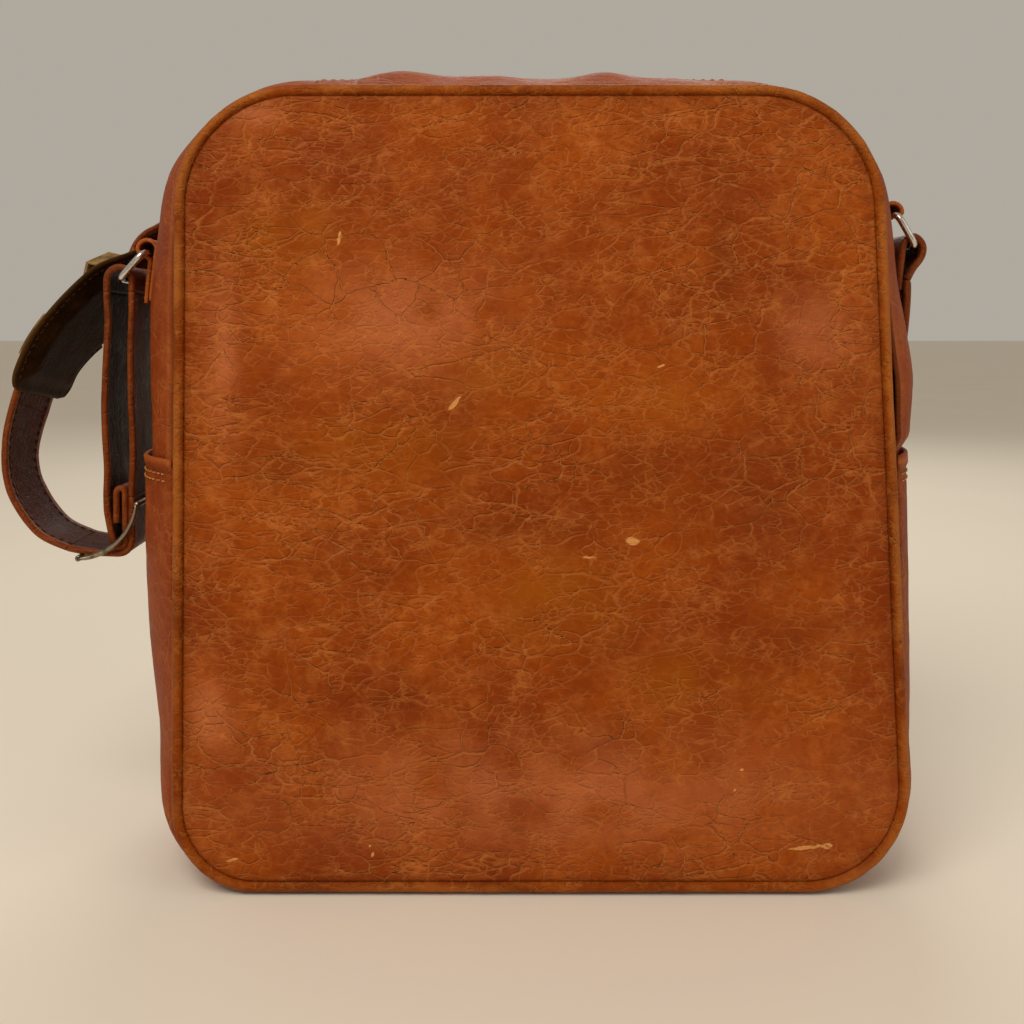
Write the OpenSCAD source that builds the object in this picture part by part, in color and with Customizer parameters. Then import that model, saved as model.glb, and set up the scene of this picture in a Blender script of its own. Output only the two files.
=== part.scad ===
// Zipped leather shoulder bag with piped panels, side pockets and an adjustable padded strap.
// The bag stands on z = 0. The plain back panel faces -Y and the pocketed front faces +Y.

/* [Bag body] */
// Depth of the bag from the back panel to the front panel
bag_depth = 110; // [100:1:120]
// How far the left gusset bulges beyond its seams
bulge_left = 19; // [17:0.5:20]
// How far the right gusset bulges beyond its seams
bulge_right = 17; // [15:0.5:18]
// How far the top rises above its seams
crown = 10.5; // [9:0.5:12]
// Thickness of the body leather
leather_t = 2; // [1.6:0.1:2.2]
// Outside diameter of the piping
piping_d = 6; // [5:0.5:7]

/* [Side pockets] */
// Height of the open edge of the side pockets
pocket_top = 171; // [150:1:185]
// Room between a side pocket and the gusset behind it
pocket_gap = 6.5; // [5:0.5:7]

/* [Front pocket] */
// Width of the front pocket
front_pocket_w = 218; // [190:1:222]
// Height of the front pocket
front_pocket_h = 190; // [160:1:200]
// How far the front pocket stands out
front_pocket_d = 9; // [8:0.5:12]

/* [Strap] */
// Width of the shoulder strap
strap_w = 38; // [34:0.5:38]
// Thickness of the shoulder strap
strap_t = 2.2; // [1.8:0.1:2.2]
// Width of the shoulder pad
pad_w = 60; // [50:1:64]
// Thickness of the shoulder pad
pad_t = 5; // [4:0.5:6]

/* [Metal fittings] */
// Distance between the two long bars of a ring, centre to centre
ring_pitch = 15.5; // [15:0.1:16]
// Diameter of the ring wire
ring_wire_d = 3; // [2.6:0.1:3]
// Length of a zip pull
pull_len = 22; // [18:1:24]

/* [Hidden] */

// Each corner of the panel outline, measured outside the piping: x, z and radius.
CORNERS = [[-113, 34, 34], [105, 42, 42], [86.5, 270.5, 51], [-97, 272.5, 49]];
piping_r = piping_d / 2;
panel_y = bag_depth / 2;
seam_y = panel_y - piping_r;            // plane of each row of piping
snug = 0.2;                             // gap between sewn pieces
play = 0.3;                             // gap between pieces that move past each other
gusset_y = seam_y - piping_r - snug;    // long edges of the gusset
panel_off = -piping_d - snug;           // edge of a panel, inside its piping
board_t = 1.5;
board_off = -10;
lining_t = 0.6;
lining_off = -7;
body_colour = [0.55, 0.24, 0.06];
side_colour = [0.5, 0.23, 0.1];
board_colour = [0.62, 0.52, 0.38];
strap_colour = [0.42, 0.14, 0.05];
metal_colour = [0.7, 0.7, 0.68];

// ---------- shared maths ----------
function mix(a, b, t) = a + (b - a) * t;
function smooth(t) = let(u = max(0, min(1, t))) u * u * (3 - 2 * u);
function unit(v) = v / norm(v);

// ---------- panel outline ----------
// A station is [centre x, centre z, radius, angle of the outward normal].
function corner(i) = CORNERS[(i + 4) % 4];
function edge_angle(i) =
    let(a = corner(i), b = corner(i + 1), d = [b.x - a.x, b.y - a.y])
    atan2(d.y, d.x) - acos((a.z - b.z) / norm(d));
function arc_start(i) = edge_angle(i - 1);
function arc_end(i) = let(s = arc_start(i), e = edge_angle(i)) e < s ? e + 360 : e;
function arc_stations(i, steps = 8) =
    [for (k = [0:steps]) concat(corner(i), [mix(arc_start(i), arc_end(i), k / steps)])];
function edge_station(i, t) = concat(mix(corner(i), corner(i + 1), t), [edge_angle(i)]);
function edge_stations(i, t0, t1, steps) =
    [for (k = [0:steps]) edge_station(i, mix(t0, t1, k / steps))];
function at(s, off) = [s[0] + (s[2] + off) * cos(s[3]), s[1] + (s[2] + off) * sin(s[3])];
function outline(off) = [for (i = [0:3]) each [for (s = arc_stations(i)) at(s, off)]];

module panel_sheet(off, y0, y1) {
    translate([0, y1, 0]) rotate([90, 0, 0]) linear_extrude(y1 - y0) polygon(outline(off));
}

// ---------- gusset surface ----------
// v runs across the gusset from the back seam at -1 to the front seam at 1.
top_z = corner(2).y + corner(2).z;
full_z = 225;           // the side bulge is full up to here and fades to the crown above it
tuck = 4.5;             // the right gusset is drawn in this much behind its pocket
function side_bulge(x, z) =
    x < 0 ? bulge_left : bulge_right - tuck * (1 - smooth((z - pocket_top) / 35));
function bulge(x, z) =
    z < 100 ? side_bulge(x, z) * smooth((z + 15) / 115) * smooth(z / 12)
            : mix(side_bulge(x, z), crown, smooth((z - full_z) / (top_z - full_z - 5)));
function fullness(z) = 3 + 9 * (1 - smooth(z / 60));
function dent(z, v) =
    pocket_gap * smooth(z / 60) * (1 - smooth((z - pocket_top - 2) / 30))
    * pow(1 - min(1, pow(v / 0.65, 4)), 2);
function gusset_point(s, v, lift, dented) =
    let(p = at(s, 0), off = mix(-piping_r, bulge(p.x, p.y), 1 - pow(abs(v), fullness(p.y))),
        q = at(s, off + lift - (dented ? dent(p.y, v) : 0)))
    [q.x, v * seam_y, q.y];
function across(y0, y1, steps) = [for (k = [steps:-1:0]) mix(y0, y1, k / steps) / seam_y];

// A closed sheet between two grids of points.
module sheet(outer, inner) {
    n = len(outer);
    m = len(outer[0]);
    below = n * m;
    function quad(a, b, c, d) = [[a, b, c], [a, c, d]];
    function cell(i, j) = i * m + j;
    rows = [0:n - 2];
    columns = [0:m - 2];
    faces = concat(
        [for (i = rows, j = columns)
            each quad(cell(i, j), cell(i, j + 1), cell(i + 1, j + 1), cell(i + 1, j))],
        [for (i = rows, j = columns)
            each quad(below + cell(i, j), below + cell(i + 1, j), below + cell(i + 1, j + 1),
                      below + cell(i, j + 1))],
        [for (i = rows)
            each quad(cell(i, 0), cell(i + 1, 0), below + cell(i + 1, 0), below + cell(i, 0))],
        [for (i = rows)
            each quad(cell(i + 1, m - 1), cell(i, m - 1), below + cell(i, m - 1),
                      below + cell(i + 1, m - 1))],
        [for (j = columns)
            each quad(cell(0, j + 1), cell(0, j), below + cell(0, j), below + cell(0, j + 1))],
        [for (j = columns)
            each quad(cell(n - 1, j), cell(n - 1, j + 1), below + cell(n - 1, j + 1),
                      below + cell(n - 1, j))]);
    polyhedron(concat([for (r = outer) each r], [for (r = inner) each r]), faces);
}

module gusset_sheet(stations, vs, lift, thick, dented = false) {
    sheet([for (s = stations) [for (v = vs) gusset_point(s, v, lift, dented)]],
          [for (s = stations) [for (v = vs) gusset_point(s, v, lift - thick, dented)]]);
}

// ---------- body leather ----------
gusset_vs = across(-gusset_y, gusset_y, 10);
zip_margin = 0.02;                      // share of the top edge left plain at each end of the zip

// A side edge is split where the mouth of its pocket is, so that both sheets bend alike.
function side_share(i, z) = (z - corner(i).y) / (corner(i + 1).y - corner(i).y);
function mouth_share(i) = side_share(i, pocket_top);
LEFT_LOW = edge_stations(3, mouth_share(3), 0.94, 5);
LEFT_HIGH = edge_stations(3, 0.1, mouth_share(3) - 0.08, 3);
RIGHT_LOW = edge_stations(1, 0.06, mouth_share(1), 5);
RIGHT_HIGH = edge_stations(1, mouth_share(1) + 0.08, 0.9, 3);

module gusset_left() {
    stations = concat([edge_station(2, 1 - zip_margin)], arc_stations(3), LEFT_HIGH, LEFT_LOW,
                      arc_stations(0));
    color(side_colour) gusset_sheet(stations, gusset_vs, 0, leather_t, dented = true);
}

module gusset_right() {
    stations = concat(arc_stations(1), RIGHT_LOW, RIGHT_HIGH, arc_stations(2),
                      [edge_station(2, zip_margin)]);
    color(side_colour) gusset_sheet(stations, gusset_vs, 0, leather_t, dented = true);
}

module base_panel() {
    x0 = corner(0).x + snug;
    x1 = corner(1).x - snug;
    turn_up = 4;                        // width of the sloping margin along each seam
    rise = 2;
    flat_y = gusset_y - turn_up;
    color(side_colour) translate([x0, 0, 0]) rotate([90, 0, 90]) linear_extrude(x1 - x0)
        polygon([[-gusset_y, rise], [-flat_y, 0], [flat_y, 0], [gusset_y, rise],
                 [gusset_y, rise + leather_t], [flat_y, leather_t], [-flat_y, leather_t],
                 [-gusset_y, rise + leather_t]]);
}

module back_panel() {
    color(body_colour) panel_sheet(panel_off, -panel_y, -panel_y + leather_t);
}

module front_panel() {
    color(body_colour) panel_sheet(panel_off, panel_y - leather_t, panel_y);
}

// Stiffening boards sit just inside the leather.
board_y = panel_y - leather_t - snug;
module back_board() { color(board_colour) panel_sheet(board_off, -board_y, -board_y + board_t); }
module front_board() { color(board_colour) panel_sheet(board_off, board_y - board_t, board_y); }

module base_board() {
    margin = 8;
    x0 = corner(0).x + margin;
    x1 = corner(1).x - margin;
    half = gusset_y - margin;
    color(board_colour) translate([x0, -half, leather_t + snug])
        cube([x1 - x0, 2 * half, board_t]);
}

// Thin bag inside the leather, left open under the zip.
module lining() {
    y = board_y - board_t - snug;
    mouth_y = gusset_y - 8;
    color([0.72, 0.6, 0.4]) difference() {
        panel_sheet(lining_off, -y, y);
        panel_sheet(lining_off - lining_t, -y + lining_t, y - lining_t);
        translate([top_edge(1 - zip_margin), -mouth_y, top_z - 20])
            cube([top_edge(zip_margin) - top_edge(1 - zip_margin), 2 * mouth_y, 20]);
    }
}

// Sweeps a section, given as [outwards, +Y] points, once round the panel outline.
module welt_sweep(section, y) {
    stations = [for (i = [0:3]) each arc_stations(i)];
    n = len(stations);
    m = len(section);
    points = [for (s = stations, q = section) let(p = at(s, q.x - piping_r)) [p.x, y + q.y, p.y]];
    function cell(i, j) = (i % n) * m + j % m;
    faces = [for (i = [0:n - 1], j = [0:m - 1])
        each [[cell(i, j), cell(i, j + 1), cell(i + 1, j + 1)],
              [cell(i, j), cell(i + 1, j + 1), cell(i + 1, j)]]];
    polyhedron(points, faces);
}

function ring_points(r, a0, a1, steps) =
    [for (k = [0:steps]) let(a = mix(a0, a1, k / steps)) r * [cos(a), sin(a)]];
welt_cord_r = 1.8;
welt_slit = 25;         // half the angle left open where the piping leather meets in the seam

// Leather wrapped round the filler cord, its two edges meeting inside the seam.
module piping(side) {
    skin = concat(ring_points(piping_r, 180 - welt_slit, welt_slit - 180, 10),
                  ring_points(welt_cord_r + 0.1, welt_slit - 180, 180 - welt_slit, 8));
    color(body_colour) welt_sweep(skin, side * seam_y);
}

module piping_cord(side) {
    sides = 8;
    section = ring_points(welt_cord_r, 360 - 360 / sides, 0, sides - 1);
    color([0.85, 0.82, 0.75]) welt_sweep(section, side * seam_y);
}

// ---------- side pockets ----------
pocket_t = 1.6;
module side_pocket(side) {
    stations = side < 0 ? concat(LEFT_LOW, [for (k = [0:6]) arc_stations(0)[k]])
                        : concat([for (k = [2:8]) arc_stations(1)[k]], RIGHT_LOW);
    color(side_colour) gusset_sheet(stations, gusset_vs, pocket_t + snug, pocket_t);
}

// ---------- top with zip ----------
// Zip parts are drawn in the zip's own frame: teeth along X, outside up, tape top at z = 0.
zip_half = 9;           // half the opening between the leather edges
tape_half = 14;
tape_t = 0.8;
tooth_gap = 0.7;        // half the slot the slider's post runs in
tooth_w = 2.2;
tooth_len = 1.8;
tooth_pitch = 3;
tooth_up = 0.8;
tooth_down = 1.2;
slider_len = 12;
end_len = 20;           // fixed stretch of zip at each end of the mouth
tape_drop = 0.4;        // the leather's inner edge is this much lower than its crown
zip_z = top_z + crown - leather_t - snug - tape_drop;
function top_edge(t) = mix(corner(2).x, corner(3).x, t);
mouth_x0 = top_edge(1 - zip_margin) + end_len;
mouth_x1 = top_edge(zip_margin) - end_len;

module zip_tape_strip(x0, x1, side, half) {
    inner = tooth_gap + tooth_w + 0.1;
    y0 = side > 0 ? inner : -half;
    color([0.3, 0.2, 0.13]) translate([x0, y0, -tape_t]) cube([x1 - x0, half - inner, tape_t]);
}

// One row of teeth on its edge cord.
module zip_teeth_row(x0, x1, side) {
    cord = 0.6;
    count = floor((x1 - x0) / tooth_pitch);
    start = (x0 + x1 - (count - 1) * tooth_pitch - tooth_len) / 2;
    low_y = side > 0 ? tooth_gap : -tooth_gap - tooth_w;
    cord_y = side > 0 ? tooth_gap + tooth_w - cord : -tooth_gap - tooth_w;
    color([0.72, 0.6, 0.35]) {
        translate([x0, cord_y, -cord]) cube([x1 - x0, cord, cord]);
        for (k = [0:count - 1])
            translate([start + k * tooth_pitch, low_y, -tooth_down])
                cube([tooth_len, tooth_w, tooth_up + tooth_down]);
    }
}

plate_t = 1.2;
plate_up = tooth_up + play;
plate_w = 9.2;
pivot_z = plate_up + plate_t + 1.4;
pivot_r = 0.8;
module zip_slider_body() {
    post_w = 0.7;
    cheek_t = 0.7;
    cheek_y = 2;
    flange_w = 0.6;
    color(metal_colour) {
        translate([-slider_len / 2, -plate_w / 2, plate_up]) cube([slider_len, plate_w, plate_t]);
        translate([-slider_len / 2, -plate_w / 2, -tooth_down - play - plate_t])
            cube([slider_len, plate_w, plate_t]);
        translate([2, -post_w / 2, -tooth_down - play - plate_t / 2])
            cube([2.5, post_w, tooth_down + tooth_up + 2 * play + plate_t]);
        for (s = [-1, 1]) {
            translate([-slider_len / 2, s > 0 ? plate_w / 2 - flange_w : -plate_w / 2, play])
                cube([slider_len, flange_w, plate_up]);
            translate([-1.6, s > 0 ? cheek_y : -cheek_y - cheek_t, plate_up + plate_t / 2])
                cube([3.2, cheek_t, pivot_z + 1.4 - plate_up - plate_t / 2]);
        }
        translate([0, cheek_y + cheek_t / 2, pivot_z]) rotate([90, 0, 0])
            cylinder(h = 2 * cheek_y + cheek_t, r = pivot_r, $fn = 32);
    }
}

module zip_pull_tab() {
    eye_w = 3.4;
    tab_w = 7;
    tab_t = 1.2;
    bore_r = pivot_r + 0.06;
    color(metal_colour) difference() {
        union() {
            translate([0, eye_w / 2, pivot_z]) rotate([90, 0, 0])
                cylinder(h = eye_w, r = bore_r + 0.4, $fn = 32);
            translate([0, -eye_w / 2, pivot_z - tab_t / 2]) cube([6, eye_w, tab_t]);
            translate([5, -tab_w / 2, pivot_z - tab_t / 2])
                cube([pull_len - 5 - tab_w / 2, tab_w, tab_t]);
            translate([pull_len - tab_w / 2, 0, pivot_z - tab_t / 2])
                cylinder(h = tab_t, d = tab_w, $fn = 48);
        }
        translate([0, eye_w, pivot_z]) rotate([90, 0, 0])
            cylinder(h = 2 * eye_w, r = bore_r, $fn = 32);
        translate([pull_len - tab_w / 2, 0, pivot_z - tab_t])
            cylinder(h = 2 * tab_t, d = 2.4, $fn = 32);
    }
}

module top_end(x0, x1) {
    ts = [for (x = [x1, x0]) (corner(2).x - x) / (corner(2).x - corner(3).x)];
    stations = edge_stations(2, ts[0], ts[1], 1);
    color(side_colour) {
        gusset_sheet(stations, across(-gusset_y, -zip_half, 5), 0, leather_t);
        gusset_sheet(stations, across(zip_half, gusset_y, 5), 0, leather_t);
    }
}

module top_end_left() { top_end(top_edge(1 - zip_margin) + snug, mouth_x0 - play); }
module top_end_right() { top_end(mouth_x1 + play, top_edge(zip_margin) - snug); }

module top_band(side) {
    ts = [for (x = [mouth_x1, mouth_x0]) (corner(2).x - x) / (corner(2).x - corner(3).x)];
    vs = side < 0 ? across(-gusset_y, -zip_half, 6) : across(zip_half, gusset_y, 6);
    color(side_colour) gusset_sheet(edge_stations(2, ts[0], ts[1], 1), vs, 0, leather_t);
}

module zip_tape(side) {
    translate([0, 0, zip_z]) zip_tape_strip(mouth_x0, mouth_x1, side, tape_half);
}

module zip_teeth(side) {
    translate([0, 0, zip_z]) zip_teeth_row(mouth_x0, mouth_x1, side);
}

module at_each_zip_end() {
    for (side = [-1, 1]) {
        translate([0, 0, zip_z]) {
            $x0 = top_edge(1 - zip_margin) + 1;
            $x1 = mouth_x0 - play;
            $side = side;
            children();
        }
        translate([0, 0, zip_z]) {
            $x0 = mouth_x1 + play;
            $x1 = top_edge(zip_margin) - 1;
            $side = side;
            children();
        }
    }
}

module zip_tape_ends() { at_each_zip_end() zip_tape_strip($x0, $x1, $side, tape_half); }
module zip_teeth_ends() { at_each_zip_end() zip_teeth_row($x0, $x1, $side); }

slider_x = mouth_x0 - end_len / 2;
module zip_slider() { translate([slider_x, 0, zip_z]) zip_slider_body(); }
module zip_pull() { translate([slider_x, 0, zip_z]) mirror([1, 0, 0]) zip_pull_tab(); }

// ---------- front pocket ----------
front_pocket_z0 = 38;
front_pocket_r = 24;
front_zip_z = front_pocket_z0 + front_pocket_h - 24;
front_zip_half = front_pocket_w / 2 - 17;
front_tape_half = 9;
front_zip_y = panel_y + snug + front_pocket_d - leather_t - snug;
front_slider_x = front_zip_half - slider_len / 2 - 1;

module rounded_slab(w, h, r, y0, y1) {
    translate([0, y1, front_pocket_z0 + front_pocket_h / 2]) rotate([90, 0, 0])
        linear_extrude(y1 - y0) {
            square([w - 2 * r, h], center = true);
            square([w, h - 2 * r], center = true);
            for (x = [-1, 1], z = [-1, 1])
                translate([x * (w / 2 - r), z * (h / 2 - r)]) circle(r, $fn = 48);
        }
}

module front_pocket_panel() {
    y0 = panel_y + snug;
    wall = leather_t;
    slot = 5;
    color(body_colour) difference() {
        rounded_slab(front_pocket_w, front_pocket_h, front_pocket_r, y0, y0 + front_pocket_d);
        rounded_slab(front_pocket_w - 2 * wall, front_pocket_h - 2 * wall, front_pocket_r - wall,
                     y0 - 1, y0 + front_pocket_d - wall);
        translate([-front_zip_half, y0, front_zip_z - slot])
            cube([2 * front_zip_half, 2 * front_pocket_d, 2 * slot]);
    }
}

module in_front_zip() {
    translate([0, front_zip_y, front_zip_z]) rotate([-90, 0, 0]) children();
}

module front_pocket_tape() {
    reach = front_zip_half + 6;
    in_front_zip() for (side = [-1, 1]) zip_tape_strip(-reach, reach, side, front_tape_half);
}

module front_pocket_teeth() {
    in_front_zip() for (side = [-1, 1]) zip_teeth_row(-front_zip_half, front_zip_half, side);
}

module front_pocket_slider() { in_front_zip() translate([front_slider_x, 0, 0]) zip_slider_body(); }
module front_pocket_pull() {
    in_front_zip() translate([front_slider_x, 0, 0]) mirror([1, 0, 0]) zip_pull_tab();
}

// ---------- rings and their tabs ----------
ring_wire_r = ring_wire_d / 2;
ring_half = 20.5;       // from the middle of a ring to the centre line of its short sides
RING_LEFT = [-166.9, 257];
RING_RIGHT = [155, 273];
lean_left = [-0.667, -0.745];
lean_right = [0.5, -0.866];

module rod(a, b, r) {
    d = b - a;
    translate(a) rotate([0, acos(d.z / norm(d)), atan2(d.y, d.x)])
        cylinder(h = norm(d), r = r, $fn = 48);
}

module ring(top, lean) {
    low = top + ring_pitch * lean;
    color(metal_colour) {
        for (bar = [top, low])
            rod([bar.x, -ring_half - ring_wire_r, bar.y], [bar.x, ring_half + ring_wire_r, bar.y],
                ring_wire_r);
        for (y = [-ring_half, ring_half]) rod([top.x, y, top.y], [low.x, y, low.y], ring_wire_r);
    }
}

module tab(top, stations, thick) {
    half = 16;
    color(side_colour) difference() {
        union() {
            rod([top.x, -half, top.y], [top.x, half, top.y], ring_wire_r + 1.9);
            gusset_sheet(stations, across(-half, half, 4), thick + snug, thick);
        }
        rod([top.x, -2 * half, top.y], [top.x, 2 * half, top.y], ring_wire_r + 0.06);
    }
}

module tab_left() { tab(RING_LEFT, edge_stations(3, side_share(3, 258), side_share(3, 235), 3), 3.2); }
module tab_right() { tab(RING_RIGHT, edge_stations(1, side_share(1, 254), 1, 3), 2.4); }

// ---------- strap ----------
// A strap point is [position, direction of the strap's width].
function tangent(path, i) =
    unit(path[min(i + 1, len(path) - 1)][0] - path[max(i - 1, 0)][0]);
function width_at(path, i) =
    let(t = tangent(path, i), w = path[i][1]) unit(w - (w * t) * t);
function face_at(path, i) = cross(tangent(path, i), width_at(path, i));
function strap_row(path, i, w, rise) =
    [for (s = [-1, 1]) path[i][0] + s * w / 2 * width_at(path, i) + rise * face_at(path, i)];

// A flat strip w wide along part of the path, from height low to height high off its centre line.
module strip(path, first, last, w, low, high) {
    part = [first:last];
    sheet([for (i = part) strap_row(path, i, w, high)],
          [for (i = part) strap_row(path, i, w, low)]);
}
module strap(path, first = 0, last = -1) {
    end = last < 0 ? len(path) - 1 : last;
    color(strap_colour) strip(path, first, end, strap_w, -strap_t / 2, strap_t / 2);
}

function spline(a, b, c, d, t) =
    0.5 * (2 * b + (c - a) * t + (2 * a - 5 * b + 4 * c - d) * t * t
           + (3 * b - a - 3 * c + d) * t * t * t);
smooth_steps = 4;
function smooth_path(ps) =
    let(last = len(ps) - 1)
    concat([for (i = [0:last - 1], k = [0:smooth_steps - 1])
        let(a = ps[max(i - 1, 0)], b = ps[i], c = ps[i + 1], d = ps[min(i + 2, last)],
            t = k / smooth_steps)
        [spline(a[0], b[0], c[0], d[0], t), mix(b[1], c[1], t)]], [ps[last]]);

// Paths in the plane across the strap's width, given as x and z.
function flat_path(points) = [for (p = points) [[p.x, 0, p.y], [0, 1, 0]]];
function turned_path(points) = [for (p = points) [[p.x, 0, p.y], [0, -1, 0]]];
function arc(c, r, a0, a1, steps) =
    [for (k = [0:steps]) let(a = mix(a0, a1, k / steps)) [c.x + r * cos(a), c.y + r * sin(a)]];

// The strap's way from the buckle, out and up to the pad, round the front, to the right ring.
STRAP = smooth_path([
    [[-200.2, 0, 130.2], [0, 1, 0]], [[-213.5, 0, 137], [0, 1, 0]], [[-224.5, 0, 153], [0, 1, 0]],
    [[-228.5, 3, 170], [0, 1, -0.12]], [[-226, 7.5, 189], [0.05, 1, -0.15]],
    [[-218, 12, 213.5], [0.05, 1, -0.2]], [[-203.5, 25.5, 234.5], [0.1, 1, -0.23]],
    [[-190, 43.5, 246], [0.12, 1, -0.17]], [[-181.5, 54, 260.5], [0.2, 1, -0.45]],
    [[-166, 64.5, 263.5], [0.1, 0.7, -0.97]], [[-144.5, 73, 247], [-0.4, 0.2, -1.03]],
    [[-120, 80, 218], [-0.75, 0, -0.6]], [[-85, 78, 168], [-0.75, 0, -0.65]],
    [[-35, 76, 128], [-0.35, 0, -0.95]], [[25, 76, 114], [0, 0, -1]],
    [[85, 78, 128], [0.3, 0, -0.95]], [[128, 80, 158], [0.6, 0, -0.8]],
    [[152, 72, 182], [0.4, -0.35, -0.8]], [[164, 48, 200], [0, -0.6, -0.8]],
    [[161.5, 18, 216], [0, -0.8, -0.6]], [[159.6, 0, 231], [0, -1, 0]],
    [[160, 0, 238], [0, -1, 0]], [[160, 0, 245], [0, -1, 0]]
]);
// The pad lies on the strap from pad_first to pad_last, between the ends of the strap's pad run.
run_first = 4 * smooth_steps;
run_last = 7.5 * smooth_steps;
pad_first = run_first + 1;
pad_last = run_last - 2;

module strap_loop() { strap(STRAP, 0, run_first); }
module strap_pad_run() { strap(STRAP, run_first, run_last); }
module strap_front_run() { strap(STRAP, run_last); }

// The right end turns over the ring's lower bar and is sewn to its own back.
module strap_end_right() {
    strap(smooth_path(turned_path([
        [160.2, 246.2], [162.6, 250], [166.3, 255], [167, 260.3], [163, 264.2], [159.1, 261.3],
        [157.9, 255], [157, 248], [156.4, 241]])));
}

// The left end rises from the buckle, passes over the ring and returns to the buckle.
arch_r = 5.4;
arch_c = [-178.2, 245.4];
inner_x = arch_c.x + arch_r;
outer_x = arch_c.x - arch_r;
run_top = 240;
run_low = 152;
wrap_c = [-178.1, 133];                 // centre bar of the buckle
wrap_r = inner_x - wrap_c.x;

module strap_arch() {
    strap(flat_path(concat([[inner_x, run_top]], arc(arch_c, arch_r, 0, 180, 10),
                           [[outer_x, run_top]])));
}
module strap_inner_run() { strap(flat_path([[inner_x, run_low + snug], [inner_x, run_top - 0.1]])); }
module strap_outer_run() { strap(flat_path([[outer_x, run_top - 0.1], [outer_x, run_low + snug]])); }
module strap_turn() {
    strap(flat_path(concat([[-200, 130.1], [-194.8, 129], [-187, 128]],
                           arc(wrap_c, wrap_r, -90, 0, 6), [[inner_x, run_low]])));
}

buckle_wire_r = 1.4;
fold_r = buckle_wire_r + snug + strap_t / 2;
module strap_end_fold() {
    tail_r = 1.9;
    tail_c = [wrap_c.x + 0.6, 154];
    strap(flat_path(concat(
        [[outer_x, run_low], [outer_x + 0.2, 146], [outer_x + 1.4, 139.5]],
        arc(wrap_c, fold_r, 180, 360, 8), arc(tail_c, tail_r, 0, 180, 8),
        [[tail_c.x - tail_r, 141]])));
}

// Three-bar buckle with side rails bent to an arc.
module buckle_frame() {
    c = [-195.7, 152.2];
    r = 26;
    half = strap_w / 2 + 2;
    function bar(a) = c + r * [cos(a), sin(a)];
    a0 = -88;
    a1 = -7;
    color([0.35, 0.3, 0.25]) {
        for (y = [-half, half])
            translate([c.x, y, c.y]) rotate([90, 0, 0]) rotate([0, 0, a0])
                rotate_extrude(angle = a1 - a0, $fn = 96)
                    translate([r, 0]) circle(buckle_wire_r, $fn = 48);
        for (b = [bar(a0), bar(a1)])
            rod([b.x, -half - buckle_wire_r, b.y], [b.x, half + buckle_wire_r, b.y],
                buckle_wire_r);
        rod([wrap_c.x, -half, wrap_c.y], [wrap_c.x, half, wrap_c.y], buckle_wire_r);
    }
}

// ---------- shoulder pad ----------
module shoulder_pad() {
    top = -strap_t / 2 - 2 * play;
    color([0.18, 0.11, 0.05]) strip(STRAP, pad_first, pad_last, pad_w, top - pad_t, top);
}

// A stiff loop over the strap, sewn to the pad on both sides of it, round strap point i.
// A keeper is flat across its top out to the shoulders, then slants down to its feet.
module pad_keeper(i, proud, shoulder) {
    thick = 1.5;
    foot = pad_w / 2 - 3;
    base = play - strap_t / 2;
    step = strap_w / 2 + 2.5;
    profile = [[-foot, base], [-step, base], [-shoulder, proud], [shoulder, proud],
               [step, base], [foot, base]];
    function row(k, rise) =
        [for (q = profile)
            STRAP[k][0] + q.x * width_at(STRAP, k) + (q.y + rise) * face_at(STRAP, k)];
    rows = [i - 1:i + 1];
    color([0.5, 0.4, 0.25])
        sheet([for (k = rows) row(k, thick)], [for (k = rows) row(k, 0)]);
}
module pad_keeper_upper() { pad_keeper(pad_last - 2, 12.5, strap_w / 2 - 5); }
module pad_keeper_lower() { pad_keeper(pad_first + 3, strap_t / 2 + 2 * play, strap_w / 2 + 0.5); }

back_panel();
front_panel();
piping(-1);  // back_piping
piping(1);  // front_piping
piping_cord(-1);  // back_piping_cord
piping_cord(1);  // front_piping_cord
gusset_left();
gusset_right();
base_panel();
back_board();
front_board();
base_board();
lining();
side_pocket(-1);  // side_pocket_left
side_pocket(1);  // side_pocket_right
top_end_left();
top_end_right();
top_band(-1);  // top_band_back
top_band(1);  // top_band_front
zip_tape(-1);  // zip_tape_back
zip_tape(1);  // zip_tape_front
zip_teeth(-1);  // zip_teeth_back
zip_teeth(1);  // zip_teeth_front
zip_tape_ends();
zip_teeth_ends();
zip_slider();
zip_pull();
front_pocket_panel();
front_pocket_tape();
front_pocket_teeth();
front_pocket_slider();
front_pocket_pull();
tab_left();
tab_right();
ring(RING_LEFT, lean_left);  // ring_left
ring(RING_RIGHT, lean_right);  // ring_right
strap_end_right();
strap_front_run();
strap_pad_run();
strap_loop();
strap_turn();
strap_inner_run();
strap_arch();
strap_outer_run();
strap_end_fold();
buckle_frame();
shoulder_pad();
pad_keeper_upper();
pad_keeper_lower();
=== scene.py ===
import math

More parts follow.
